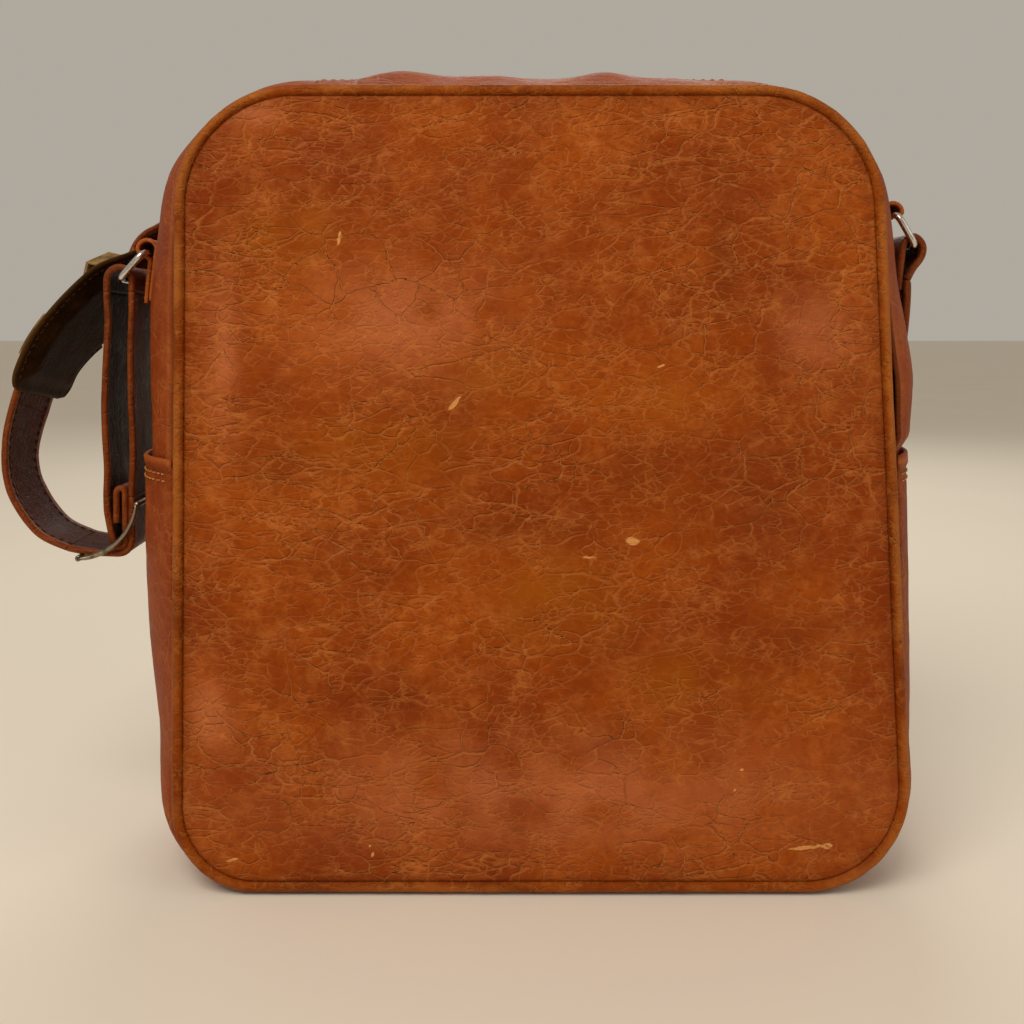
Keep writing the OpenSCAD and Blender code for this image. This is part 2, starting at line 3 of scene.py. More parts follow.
import bmesh
import bpy
import numpy as np
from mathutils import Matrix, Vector


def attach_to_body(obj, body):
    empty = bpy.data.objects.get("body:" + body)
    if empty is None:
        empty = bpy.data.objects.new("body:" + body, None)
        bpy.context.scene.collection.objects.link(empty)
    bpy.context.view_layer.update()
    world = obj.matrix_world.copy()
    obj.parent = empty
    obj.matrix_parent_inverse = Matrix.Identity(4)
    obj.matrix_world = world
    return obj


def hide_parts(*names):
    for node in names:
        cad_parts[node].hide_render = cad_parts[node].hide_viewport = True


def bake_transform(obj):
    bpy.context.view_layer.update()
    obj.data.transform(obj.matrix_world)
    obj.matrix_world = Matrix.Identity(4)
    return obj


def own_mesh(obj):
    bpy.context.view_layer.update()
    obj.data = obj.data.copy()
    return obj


# Looks of the leather shoulder bag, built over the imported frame.
# The builders work in millimetres in the frame's axes: back panel to -Y, top to +Z.
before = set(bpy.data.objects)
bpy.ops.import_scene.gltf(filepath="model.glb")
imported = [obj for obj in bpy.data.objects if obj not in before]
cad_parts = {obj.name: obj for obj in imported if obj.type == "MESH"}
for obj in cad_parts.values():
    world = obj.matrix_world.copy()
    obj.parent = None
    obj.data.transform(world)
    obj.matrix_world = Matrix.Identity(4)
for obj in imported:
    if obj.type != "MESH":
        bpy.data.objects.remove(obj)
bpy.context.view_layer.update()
MM = 0.001

# Driving sizes, as in the CAD
CORNERS = [(-113, 34, 34), (105, 42, 42), (86.5, 270.5, 51), (-97, 272.5, 49)]
PANEL_Y = 55
SEAM_Y = 52
PIPING_R = 3
GUSSET_Y = 48.8
LEATHER_T = 2
POCKET_T = 1.6
TOP_Z = 321.5
MIDDLE_Z = 160
CROWN = 10.5
BULGE_LEFT = 19
BULGE_RIGHT = 17
TUCK = 4.5
POCKET_TOP = 171
POCKET_GAP = 6.5
STRAP_W = 38
STRAP_T = 2.2
BUCKLE_TRAVEL = 35


# ---------- shared maths ----------
def mix(a, b, t):
    return a + (b - a) * t


def smooth(t):
    u = np.clip(t, 0, 1)
    return u * u * (3 - 2 * u)


def hill(x, middle, width):
    """1 at the middle, falling smoothly to 0 at about twice the width."""
    return np.exp(-(((x - middle) / width) ** 2))


def unit(v):
    return v / np.linalg.norm(v, axis=-1, keepdims=True)


def lengths_along(path):
    """The distance from the start of a path to each of its points."""
    gaps = np.linalg.norm(np.diff(path, axis=0), axis=1)
    return np.concatenate([[0], np.cumsum(gaps)])


def lattice(ix, iy, seed):
    """A repeatable number from 0 to 1 for each whole-numbered place."""
    h = np.sin(ix * 127.1 + iy * 311.7 + seed * 74.7) * 43758.5453
    return h - np.floor(h)


def noise(x, y, seed):
    """Smooth noise from -1 to 1 that changes about once per unit."""
    ix, iy = np.floor(x), np.floor(y)
    fx, fy = smooth(x - ix), smooth(y - iy)
    low = mix(lattice(ix, iy, seed), lattice(ix + 1, iy, seed), fx)
    high = mix(lattice(ix, iy + 1, seed), lattice(ix + 1, iy + 1, seed), fx)
    return 2 * mix(low, high, fy) - 1


def rough_noise(x, y, size, seed, octaves=3):
    """Noise whose largest features are this size, with finer ones added."""
    total = 0
    for k in range(octaves):
        total = total + noise(x * 2**k / size, y * 2**k / size, seed + 7 * k) / 2**k
    return total


def creases(x, y, size, seed, width=0.22):
    """1 along the borders of warped cells of this size, 0 beyond this share of a cell."""
    gx = x / size + 0.5 * rough_noise(x, y, 1.7 * size, seed + 11)
    gy = y / size + 0.5 * rough_noise(x, y, 1.7 * size, seed + 23)
    nearest = np.full(np.shape(x), 9.0)
    second = nearest.copy()
    for dx in (-1, 0, 1):
        for dy in (-1, 0, 1):
            cx, cy = np.floor(gx) + dx, np.floor(gy) + dy
            away = np.hypot(gx - cx - lattice(cx, cy, seed), gy - cy - lattice(cx, cy, seed + 5))
            second = np.minimum(second, np.maximum(nearest, away))
            nearest = np.minimum(nearest, away)
    return 1 - smooth((second - nearest) / width)


def spline(points, per_point):
    """Catmull-Rom curve through control rows of any width."""
    p = np.array(points, float)
    p = np.concatenate([p[:1], p, p[-1:]])
    t = (np.arange(per_point) / per_point)[:, None]
    parts = [0.5 * (2 * b + (c - a) * t + (2 * a - 5 * b + 4 * c - d) * t**2
                    + (3 * b - a - 3 * c + d) * t**3)
             for a, b, c, d in zip(p[:-3], p[1:-2], p[2:-1], p[3:])]
    return np.concatenate([*parts, p[-2:-1]])


def arc(centre, radius, start, end, steps=24):
    """Points round part of a circle, between two angles in degrees."""
    a = np.radians(np.linspace(start, end, steps + 1))
    return [(centre[0] + radius * np.cos(t), centre[1] + radius * np.sin(t)) for t in a]


def resample(path, spacing):
    """The path with points evenly spaced along it."""
    along = lengths_along(path)
    places = np.linspace(0, along[-1], max(2, int(along[-1] / spacing) + 1))
    return np.stack([np.interp(places, along, path[:, k]) for k in range(path.shape[1])], axis=1)


def softened(path):
    """The path with its corners eased and its ends kept."""
    path[1:-1] = (path[:-2] + 2 * path[1:-1] + path[2:]) / 4
    return path


# ---------- panel outline and gusset surface ----------
def corner(i):
    return CORNERS[i % 4]


def edge_angle(i):
    """Direction, in degrees, of the outward normal of the straight edge after corner i."""
    a, b = corner(i), corner(i + 1)
    dx, dz = b[0] - a[0], b[1] - a[1]
    slope = math.degrees(math.atan2(dz, dx))
    return slope - math.degrees(math.acos((a[2] - b[2]) / math.hypot(dx, dz)))


def arc_stations(i, steps):
    """Stations (centre x, centre z, radius, angle) round corner i."""
    start, end = edge_angle(i - 1), edge_angle(i)
    end = end + 360 if end < start else end
    return [(*corner(i), mix(start, end, k / steps)) for k in range(steps + 1)]


def edge_station(i, t):
    """The station at this share of the straight edge after corner i."""
    a, b = corner(i), corner(i + 1)
    return (*[mix(p, q, t) for p, q in zip(a, b)], edge_angle(i))


def edge_stations(i, t0, t1, steps):
    return [edge_station(i, mix(t0, t1, k / steps)) for k in range(steps + 1)]


def whole_outline(arc_steps, edge_steps):
    """Stations once round the outline, with no repeated point."""
    found = []
    for i in range(4):
        found += arc_stations(i, arc_steps)
        found += edge_stations(i, 1 / edge_steps, 1 - 1 / edge_steps, edge_steps - 2)
    return found


def at(stations, off):
    """Points [x, z] at this distance outside the outline; off may vary from point to point."""
    s = np.array(stations, float)
    a = np.radians(s[:, 3])
    if np.ndim(off) == 2:
        s, a = s[:, None, :], a[:, None]
    return np.stack([s[..., 0] + (s[..., 2] + off) * np.cos(a),
                     s[..., 1] + (s[..., 2] + off) * np.sin(a)], axis=-1)


def bulge(x, z):
    """How far the middle of the gusset stands outside the panel's outline."""
    side = np.where(x < 0, BULGE_LEFT, BULGE_RIGHT - TUCK * (1 - smooth((z - POCKET_TOP) / 35)))
    low = side * smooth((z + 15) / 115) * smooth(z / 12)
    high = mix(side, CROWN, smooth((z - 225) / (TOP_Z - 230)))
    return np.where(z < 100, low, high)


def gusset_points(stations, ys, lift=0.0, dented=False):
    """Points of the gusset surface for each station and each distance y across it."""
    p = at(stations, 0)
    x, z = p[:, :1], p[:, 1:]
    v = np.array(ys, float)[None, :] / SEAM_Y
    fullness = 3 + 9 * (1 - smooth(z / 60))
    off = mix(-PIPING_R, bulge(x, z), 1 - np.abs(v) ** fullness)
    if dented:
        reach = smooth(z / 60) * (1 - smooth((z - POCKET_TOP - 2) / 30))
        off = off - POCKET_GAP * reach * (1 - np.minimum(1, (np.abs(v) / 0.65) ** 4)) ** 2
    q = at(stations, off + lift)
    return np.stack([q[..., 0], np.broadcast_to(v * SEAM_Y, q.shape[:2]), q[..., 1]], axis=-1)


def top_share(x):
    """Share of the way along the top edge, from right to left, of the point at x."""
    return (CORNERS[2][0] - x) / (CORNERS[2][0] - CORNERS[3][0])


def side_share(i, z):
    """Share of the way along side edge i of the point at height z."""
    return (z - corner(i)[1]) / (corner(i + 1)[1] - corner(i)[1])


# ---------- meshes ----------
def make_piece(name, points, faces, looks, body, slot, material_of=None, marks=None, flat=False):
    """A mesh piece that rides on a body. Points are in millimetres, marks are values per point."""
    mesh = bpy.data.meshes.new(name)
    mesh.from_pydata((np.reshape(points, (-1, 3)) * MM).tolist(), [], faces)
    for look in looks:
        mesh.materials.append(MATERIALS[look])
    if material_of is not None:
        mesh.polygons.foreach_set("material_index", np.array(material_of, np.int32))
    for key, values in (marks or {}).items():
        attribute = mesh.attributes.new(key, "FLOAT", "POINT")
        attribute.data.foreach_set("value", np.ravel(values).astype(np.float32))
    shell = bmesh.new()
    shell.from_mesh(mesh)
    bmesh.ops.recalc_face_normals(shell, faces=shell.faces)
    shell.to_mesh(mesh)
    shell.free()
    mesh.polygons.foreach_set("use_smooth", [not flat] * len(mesh.polygons))
    piece = bpy.data.objects.new(name, mesh)
    bpy.context.collection.objects.link(piece)
    if body:
        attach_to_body(piece, body)
    return piece


def grid_faces(rows, columns, ring=False, closed=False, start=0):
    """Quads of a grid of points. ring joins the last column to the first, closed the last row."""
    def cell(i, j):
        return start + (i % rows) * columns + j % columns
    return [(cell(i, j), cell(i, j + 1), cell(i + 1, j + 1), cell(i + 1, j))
            for i in range(rows if closed else rows - 1)
            for j in range(columns if ring else columns - 1)]


def tube_faces(rows, columns, start=0):
    """Faces of a skin through rings of points, with a cap at each end."""
    last = start + (rows - 1) * columns
    return grid_faces(rows, columns, ring=True, start=start) + [
        tuple(range(start, start + columns)), tuple(range(last, last + columns))]


def two_skins(rows, columns):
    """Faces of two nested skins of rings, joined along their first rings."""
    count = rows * columns
    faces = grid_faces(rows, columns, ring=True) + grid_faces(rows, columns, ring=True, start=count)
    return faces + [(j, (j + 1) % columns, count + (j + 1) % columns, count + j)
                    for j in range(columns)]


def join_tubes(tubes):
    """All the points and faces of several tubes, each an array of rings."""
    points, faces = [], []
    count = 0
    for rows in tubes:
        n, m = rows.shape[:2]
        faces += tube_faces(n, m, count)
        points.append(rows.reshape(-1, 3))
        count += n * m
    return np.concatenate(points), faces


def sweep(name, rows, looks, body, slot, closed=False, column_material=None, **more):
    """A skin through rings of points, one ring per row, closed by a cap at each open end."""
    n, m = rows.shape[:2]
    faces = grid_faces(n, m, ring=True, closed=True) if closed else tube_faces(n, m)
    quads = len(faces) if closed else len(faces) - 2
    given = column_material or [0] * m
    material_of = [given[k % m] if k < quads else 0 for k in range(len(faces))]
    return make_piece(name, rows, faces, looks, body, slot, material_of=material_of, **more)


def sheet_piece(name, outer, inner, look, body, slot, marks=None, edge=0.35):
    """A closed sheet between two grids, with its edges rounded by a middle line of points."""
    n, m = outer.shape[:2]
    count = n * m
    faces = grid_faces(n, m) + grid_faces(n, m, start=count)
    rim = [(0, j) for j in range(m)] + [(i, m - 1) for i in range(1, n)]
    rim += [(n - 1, j) for j in range(m - 2, -1, -1)] + [(i, 0) for i in range(n - 2, 0, -1)]
    i, j = np.array(rim).T
    toward = outer[np.clip(i, 1, n - 2), np.clip(j, 1, m - 2)] - outer[i, j]
    length = np.maximum(np.linalg.norm(toward, axis=1, keepdims=True), 1e-6)
    middle = (outer[i, j] + inner[i, j]) / 2 - toward / length * edge
    places = (i * m + j).tolist()
    for k, a in enumerate(places):
        after = (k + 1) % len(places)
        b, c, d = places[after], 2 * count + k, 2 * count + after
        faces += [(a, b, d, c), (c, d, count + b, count + a)]
    points = np.concatenate([outer.reshape(-1, 3), inner.reshape(-1, 3), middle])
    spread = {key: np.broadcast_to(grid, (n, m)) for key, grid in (marks or {}).items()}
    marks = {key: np.concatenate([np.ravel(grid), np.ravel(grid), grid[i, j]])
             for key, grid in spread.items()}
    return make_piece(name, points, faces, [look], body, slot, marks=marks)


def path_frames(path, across):
    """Width directions and face normals along a path of points."""
    tangent = unit(np.concatenate([path[1:2] - path[:1], path[2:] - path[:-2],
                                   path[-1:] - path[-2:-1]]))
    across = np.broadcast_to(np.array(across, float), path.shape)
    width = unit(across - np.sum(across * tangent, axis=1, keepdims=True) * tangent)
    return width, np.cross(tangent, width)


def section_rows(path, across, section):
    """Rows of a section, given as [across, rise] points, or one such list per path point."""
    width, face = path_frames(path, across)
    section = np.broadcast_to(np.array(section, float), (len(path), *np.shape(section)[-2:]))
    return (path[:, None, :] + section[..., :1] * width[:, None, :]
            + section[..., 1:] * face[:, None, :])


def loop_rows(path, normal, section):
    """Section rows round a closed flat loop."""
    n = len(path)
    section = np.broadcast_to(section, (n, *np.shape(section)[-2:]))
    round_again = np.arange(-1, n + 1) % n
    return section_rows(path[round_again], normal, section[round_again])[1:n + 1]


def circle_section(radius, sides):
    a = np.linspace(0, 2 * math.pi, sides, endpoint=False)
    return np.stack([radius * np.cos(a), radius * np.sin(a)], axis=1)


def stitch_row(name, path, outward, body, slot, pitch=4.0, length=2.6, radius=0.33,
               thread="thread"):
    """A row of thread stitches lying on a surface. outward is its normal along the path."""
    fine, rise, sunk = 0.4, 0.45, 0.12
    ways = np.broadcast_to(np.array(outward, float), path.shape)
    both = resample(np.concatenate([path, ways], axis=1), fine)
    step = max(2, round(pitch / fine))
    span = max(2, round(length / fine))
    stitches = []
    for start in range(0, len(both) - span, step):
        part = both[start:start + span + 1]
        t = np.linspace(0, 1, len(part))[:, None]
        lifted = part[:, :3] + part[:, 3:] * (rise * np.sin(math.pi * t) - sunk)
        spine = resample(lifted, length / 4)
        way = np.broadcast_to(unit(part[len(part) // 2, 3:]), spine.shape)
        stitches.append(section_rows(spine, way, circle_section(radius, 6)))
    points, faces = join_tubes(stitches)
    return make_piece(name, points, faces, [thread], body, slot)


# ---------- materials ----------
def srgb(r, g, b):
    """A colour given as the usual 0 to 255 values."""
    def linear(c):
        c = c / 255
        return c / 12.92 if c <= 0.04045 else ((c + 0.055) / 1.055) ** 2.4
    return (linear(r), linear(g), linear(b), 1.0)


class Shader:
    """A material's node tree, built from short calls. Lengths here are in metres."""

    def __init__(self, name, roughness=0.5, metallic=0.0, specular=0.5, coat=0.0, coat_roughness=0.3):
        self.material = bpy.data.materials.new(name)
        self.material.use_nodes = True
        self.tree = self.material.node_tree
        self.surface = self.tree.nodes["Principled BSDF"]
        for key, value in (("Roughness", roughness), ("Metallic", metallic),
                           ("Specular IOR Level", specular), ("Coat Weight", coat),
                           ("Coat Roughness", coat_roughness)):
            self.surface.inputs[key].default_value = value
        self.place = self.node("TexCoord", {}, output="Object")

    def node(self, kind, inputs, output=0, **settings):
        made = self.tree.nodes.new("ShaderNode" + kind)
        for key, value in settings.items():
            setattr(made, key, value)
        for key, value in inputs.items():
            if isinstance(value, bpy.types.NodeSocket):
                self.tree.links.new(value, made.inputs[key])
            else:
                made.inputs[key].default_value = value
        return made.outputs[output]

    def math(self, operation, a, b=0.0):
        return self.node("Math", {0: a, 1: b}, operation=operation)

    def strongest(self, values):
        """The largest of some values at each place."""
        found = values[0]
        for value in values[1:]:
            found = self.math("MAXIMUM", found, value)
        return found

    def turned(self, angle, stretch, seed=0.0):
        """The place, turned about Y and squeezed so that patterns run long along the turned X."""
        return self.node("Mapping", {"Vector": self.place, "Location": (seed, seed, seed),
                                     "Rotation": (0, math.radians(angle), 0),
                                     "Scale": (1 / stretch, 1, 1)}, vector_type="POINT")

    def warped(self, vector, size, amount):
        """The vector, moved about by soft noise of this size."""
        drift = self.node("TexNoise", {"Vector": vector, "Scale": 1 / size, "Detail": 2.0}, output=1)
        centred = self.node("VectorMath", {0: drift, 1: (0.5, 0.5, 0.5)}, operation="SUBTRACT")
        return self.node("VectorMath", {0: centred, 1: (amount,) * 3, 2: vector},
                         operation="MULTIPLY_ADD")

    def noise(self, size, detail=3.0, vector=None, roughness=0.55):
        return self.node("TexNoise", {"Vector": vector or self.place, "Scale": 1 / size,
                                      "Detail": detail, "Roughness": roughness})

    def waves(self, scale, direction, **more):
        """Parallel bands of light and dark, across X, Y or Z."""
        return self.node("TexWave", {"Vector": self.place, "Scale": scale, **more}, output=1,
                         bands_direction=direction)

    def edges(self, vector, size, width):
        """1 on the borders of cells of this size, falling to 0 at a share width of a cell."""
        away = self.node("TexVoronoi", {"Vector": vector, "Scale": 1 / size},
                         feature="DISTANCE_TO_EDGE")
        return self.ramp(away, 0.0, width, 1.0, 0.0)

    def ramp(self, value, low, high, out_low=0.0, out_high=1.0):
        return self.node("MapRange", {"Value": value, "From Min": low, "From Max": high,
                                      "To Min": out_low, "To Max": out_high},
                         interpolation_type="SMOOTHSTEP")

    def mark(self, name):
        return self.node("Attribute", {}, output="Fac", attribute_name=name)

    def tint(self, factor, a, b):
        return self.node("Mix", {0: factor, 6: a, 7: b}, output=2, data_type="RGBA")

    def stain(self, colour, factor, strength, stained):
        """Turns the colour toward another one, by a factor and an overall strength."""
        return self.tint(self.math("MULTIPLY", factor, strength), colour, stained)

    def bump(self, height, depth, strength=1.0, below=None):
        inputs = {"Height": height, "Distance": depth, "Strength": strength}
        if below is not None:
            inputs["Normal"] = below
        return self.node("Bump", inputs)

    def finish(self, colour, normal=None, roughness=None):
        for key, value in (("Base Color", colour), ("Normal", normal), ("Roughness", roughness)):
            if isinstance(value, bpy.types.NodeSocket):
                self.tree.links.new(value, self.surface.inputs[key])
            elif value is not None:
                self.surface.inputs[key].default_value = value
        return self.material


def nick(shader, x, z, length, width, angle):
    """1 inside a small torn scuff at x, z on the back panel, in millimetres."""
    rough = shader.warped(shader.place, 0.0035, 0.0022)
    local = shader.node("Mapping", {"Vector": rough, "Location": (x * MM, 0, z * MM),
                                    "Rotation": (0, math.radians(-angle), 0),
                                    "Scale": (length * MM / 2, 1e3, width * MM / 2)},
                        vector_type="TEXTURE")
    away = shader.node("VectorMath", {0: local}, output=1, operation="LENGTH")
    return shader.ramp(away, 0.75, 1.1, 1.0, 0.0)


def crease_layer(shader, angle, stretch, size, width, mark=None):
    """Thin broken lines round warped cells of this size, longer along the turned direction."""
    vector = shader.turned(angle, stretch, seed=angle * 0.013 + size)
    vector = shader.warped(vector, size * 1.6, size * 1.1)
    vector = shader.warped(vector, size * 0.35, size * 0.16)
    line = shader.edges(vector, size, width)
    fade = shader.ramp(shader.noise(size * 2.4, 3.0, vector), 0.42, 0.64)
    line = shader.math("MULTIPLY", line, fade)
    return shader.math("MULTIPLY", line, shader.mark(mark)) if mark else line


# Marks of the back panel: the mark, its strength and the colour it turns the leather. The amber
# patches are the leather's own tone; the dark patches are mostly painted shade in dents and along a
# band facing down, partly darker tone; the pale patches are a painted sheen, highlights laid into the
# colour.
PANEL_STAINS = [("amber", 0.8, srgb(150, 74, 0)), ("shade_and_dark_tone", 0.55, srgb(108, 38, 2)),
                ("painted_sheen", 0.7, srgb(184, 102, 60))]


def leather(name, deep, base, light, web=1.0, web_size=0.0085, nicks=(), roughness=0.5,
            layered=False, coat=0.03, specular=0.22):
    """Worn leather: cloudy colour, a web of pale creases, pores and lighter worn edges."""
    s = Shader(name, roughness=roughness, specular=specular, coat=coat, coat_roughness=0.42)
    s.surface.inputs["Specular Tint"].default_value = srgb(255, 206, 150)
    patches = s.noise(0.012, 7.0, roughness=0.7)
    flecks = s.noise(0.0035, 5.0, roughness=0.7)
    colour = s.tint(s.ramp(s.noise(0.06, 4.0), 0.30, 0.70), deep, base)
    colour = s.stain(colour, s.ramp(patches, 0.44, 0.70), 0.26, light)
    colour = s.stain(colour, s.ramp(flecks, 0.53, 0.36), 0.5, deep)
    if layered:
        # Amber tone, painted shade mixed with darker tone, and a painted sheen of highlights, each
        # laid into the colour.
        for mark, strength, stained in PANEL_STAINS:
            colour = s.stain(colour, s.mark(mark), strength, stained)
        layers = [(36, 2.6, web_size, 0.06, "falling"), (-40, 2.2, web_size * 1.1, 0.06, "rising"),
                  (-6, 2.8, web_size * 0.7, 0.08, "sideways"), (30, 1.3, web_size * 1.6, 0.04, None)]
    else:
        layers = [(20, 1.5, web_size, 0.05, None), (-35, 1.6, web_size * 1.5, 0.035, None)]
    lines = s.strongest([crease_layer(s, *layer) for layer in layers])
    wrinkles = s.strongest([crease_layer(s, 18, 2.2, 0.0040, 0.09),
                            crease_layer(s, -25, 1.8, 0.0032, 0.11)])
    colour = s.stain(colour, lines, 0.38 * web, light)
    colour = s.stain(colour, wrinkles, 0.32 * web, light)
    colour = s.stain(colour, s.mark("worn"), 0.75, light)
    # Painted shade: darkens the leather in the grooves beside the piping and under hems.
    colour = s.stain(colour, s.mark("painted_shade"), 0.85, srgb(62, 20, 4))
    if nicks:
        colour = s.tint(s.strongest([nick(s, *given) for given in nicks]), colour,
                        srgb(206, 140, 76))
    pores = s.node("TexVoronoi", {"Vector": s.place, "Scale": 1 / 0.0012}, feature="F1")
    normal = None
    for height, depth, strength in ((s.noise(0.009, 4.0), 0.0016, 0.55), (lines, -0.0007, 0.9 * web),
                                    (wrinkles, -0.00035, 0.85 * web), (pores, 0.00016, 0.6)):
        normal = s.bump(height, depth, strength, below=normal)
    gloss = s.ramp(patches, 0.3, 0.75, roughness - 0.06, roughness + 0.1)
    return s.finish(colour, normal, gloss)


def suede(name, deep, base):
    s = Shader(name, roughness=0.85, specular=0.2)
    colour = s.tint(s.ramp(s.noise(0.006, 6.0), 0.35, 0.68), deep, base)
    colour = s.stain(colour, s.mark("worn"), 0.8, srgb(176, 142, 92))
    return s.finish(colour, s.bump(s.noise(0.0012, 5.0), 0.0004, 0.7))


def metal(name, base, dull, roughness, tarnish=0.5):
    s = Shader(name, roughness=roughness, metallic=1.0)
    spotted = s.ramp(s.noise(0.004, 6.0), 0.45, 0.7, 0.0, tarnish)
    rough = s.ramp(s.noise(0.0018, 4.0), 0.3, 0.7, roughness - 0.06, roughness + 0.12)
    scratches = s.noise(0.0006, 2.0, s.turned(25, 9.0))
    return s.finish(s.tint(spotted, base, dull), s.bump(scratches, 0.00003, 0.5), rough)


def woven(name, warp, weft, thread=0.0007):
    """Cloth of two sets of threads at right angles."""
    s = Shader(name, roughness=0.85, specular=0.25)
    in_x, in_y, in_z = [s.waves(0.16 / thread, way, Distortion=0.6, Detail=1.0) for way in "XYZ"]
    height = s.math("MULTIPLY", s.math("ADD", in_x, in_z), in_y)
    colour = s.tint(s.ramp(height, 0.2, 1.1), warp, weft)
    colour = s.tint(s.ramp(s.noise(0.02, 4.0), 0.4, 0.8, 0.0, 0.3), colour, warp)
    return s.finish(colour, s.bump(height, 0.0002, 0.7))


def board(name):
    s = Shader(name, roughness=0.9)
    colour = s.tint(s.noise(0.003, 6.0), srgb(150, 122, 86), srgb(190, 166, 128))
    return s.finish(colour, s.bump(s.noise(0.0008, 4.0), 0.0002, 0.6))


def thread_material(name, dark, pale):
    s = Shader(name, roughness=0.7, specular=0.2)
    twist = s.node("TexWave", {"Vector": s.turned(45, 1.0), "Scale": 220.0}, output=1)
    return s.finish(s.tint(twist, dark, pale), s.bump(twist, 0.00008, 0.5))


def floor_material(name):
    s = Shader(name, roughness=0.75, specular=0.2)
    return s.finish(s.tint(s.ramp(s.noise(0.4, 2.0), 0.3, 0.7, 0.0, 0.25),
                           srgb(236, 226, 210), srgb(228, 216, 198)))


# Scuffs of the back panel: x, z, length, width (mm) and slope (degrees).
PANEL_NICKS = [(-79.8, 259.6, 6.5, 1.5, 82), (-34, 195, 7.5, 1.6, 48), (36, 140.5, 6, 3.4, -8),
               (-66.5, 16, 2.2, 1.2, 70), (-67.5, 19.5, 1.4, 1, 60), (78.6, 51, 1.4, 1, 0),
               (76, 43, 1.6, 1, 10), (106, 19, 17, 1.6, 6), (113, 19.5, 5, 2.6, 0),
               (47, 209.5, 3.2, 1.2, 12), (19, 133.8, 6.5, 0.9, -6), (-122, 13.5, 5, 1.5, 10)]

MATERIALS = {
    "panel": leather("panel_leather", srgb(122, 42, 0), srgb(154, 68, 4), srgb(200, 118, 54),
                     nicks=PANEL_NICKS, layered=True),
    "front": leather("front_leather", srgb(120, 42, 2), srgb(150, 64, 6), srgb(194, 112, 52)),
    "gusset": leather("gusset_leather", srgb(120, 42, 6), srgb(142, 60, 12), srgb(190, 108, 50),
                      web=0.7, web_size=0.014, roughness=0.58, specular=0.25, coat=0.0),
    "piping": leather("piping_leather", srgb(108, 38, 0), srgb(140, 60, 4), srgb(190, 116, 48),
                      web=0.8, web_size=0.005, specular=0.14),
    "strap": leather("strap_leather", srgb(78, 24, 2), srgb(106, 40, 8), srgb(166, 88, 38),
                     web=0.7, web_size=0.008, specular=0.25),
    "lined": leather("strap_lining", srgb(34, 7, 2), srgb(64, 18, 4), srgb(112, 46, 22),
                     web=0.6, web_size=0.009, roughness=0.46, coat=0.0, specular=0.04),
    "pad": leather("pad_leather", srgb(28, 15, 5), srgb(44, 25, 9), srgb(84, 56, 26),
                   web=0.35, web_size=0.006, roughness=0.6, coat=0.0, specular=0.05),
    "suede": suede("keeper_leather", srgb(96, 74, 38), srgb(140, 112, 64)),
    "thread": thread_material("stitching_thread", srgb(150, 92, 36), srgb(196, 138, 66)),
    "dim_thread": thread_material("worn_thread", srgb(66, 34, 14), srgb(112, 68, 34)),
    "nickel": metal("ring_metal", srgb(206, 202, 196), srgb(140, 130, 116), 0.2, 0.4),
    "buckle": metal("buckle_metal", srgb(150, 136, 116), srgb(70, 56, 42), 0.32, 0.8),
    "brass": metal("zip_metal", srgb(198, 160, 96), srgb(112, 84, 48), 0.3),
    "tape": woven("zip_tape", srgb(52, 32, 20), srgb(84, 56, 36)),
    "lining": woven("lining_cloth", srgb(150, 124, 84), srgb(190, 164, 118), 0.0009),
    "board": board("stiffener_board"),
    "cord": woven("piping_cord", srgb(196, 188, 170), srgb(228, 222, 208), 0.0006),
}


# ---------- body panels ----------
def soft_folds(x, z):
    """Broad shallow folds of a stuffed leather panel, in millimetres."""
    along = 0.72 * x - 0.69 * z
    other = 0.69 * x + 0.72 * z
    return 0.9 * rough_noise(along / 1.6, other, 58, 3, 2) + 0.4 * rough_noise(x, z, 30, 9, 2)


def spots(x, z, places):
    """The strongest of some soft patches, each given as x, z, half width and half height."""
    return np.max([hill(x, cx, w) * hill(z, cz, h) for cx, cz, w, h in places], axis=0)


# Places on the panel: dark patches (mostly painted shade, partly darker tone), amber patches, pale
# patches of painted sheen (painted highlights) and raised swells.
SHADE_AND_DARK_TONE = [(72, 262, 6, 34), (105, 102, 24, 12), (40, 166, 26, 14), (-105, 170, 16, 10),
         (-8, 148, 30, 9), (88, 150, 14, 26), (-60, 78, 22, 8), (30, 60, 26, 8)]
AMBER = [(6, 118, 26, 20), (-62, 176, 30, 12), (-20, 208, 18, 10), (52, 196, 20, 10),
         (60, 84, 26, 12), (-100, 262, 22, 12)]
PAINTED_SHEEN = [(-56, 228, 36, 20), (-131, 70, 9, 18), (-37, 51, 32, 13), (110, 223, 14, 13),
         (35, 36, 30, 13), (-113, 309, 11, 5), (0, 40, 100, 20), (-126, 210, 6, 30)]
SWELLS = [(-56, 196, 58, 34), (96, 196, 40, 32), (-30, 66, 60, 26), (60, 48, 46, 24)]

# The panel is a nest of rings: some close ones that roll over its edge, then an even shrinking.
EDGE_OFFSETS = (-3.9, -4.4, -4.9, -5.5, -6.3, -7.4, -9.2, -12, -15.6, -20)
EDGE_START = -4.3
EDGE_ROLL = 2.4
INNER_RINGS = 88
INNER_STEP = 1.15


def panel_grid():
    """Places x and z of the panel's rings of points, and how far inside its edge each lies."""
    stations = whole_outline(60, 110)
    edge_rings = [at(stations, off) for off in EDGE_OFFSETS]
    centre = edge_rings[-1].mean(axis=0)
    inner = [centre + (edge_rings[-1] - centre) * (1 - k / INNER_RINGS)
             for k in range(1, INNER_RINGS)]
    grid = np.array(edge_rings + inner)
    deep = EDGE_START - EDGE_OFFSETS[-1]
    inset = [*(EDGE_START - np.array(EDGE_OFFSETS)),
             *(deep + k * INNER_STEP for k in range(1, INNER_RINGS))]
    inset = np.maximum(np.array(inset)[:, None], 0) * np.ones_like(grid[..., 0])
    return grid[..., 0], grid[..., 1], inset, centre


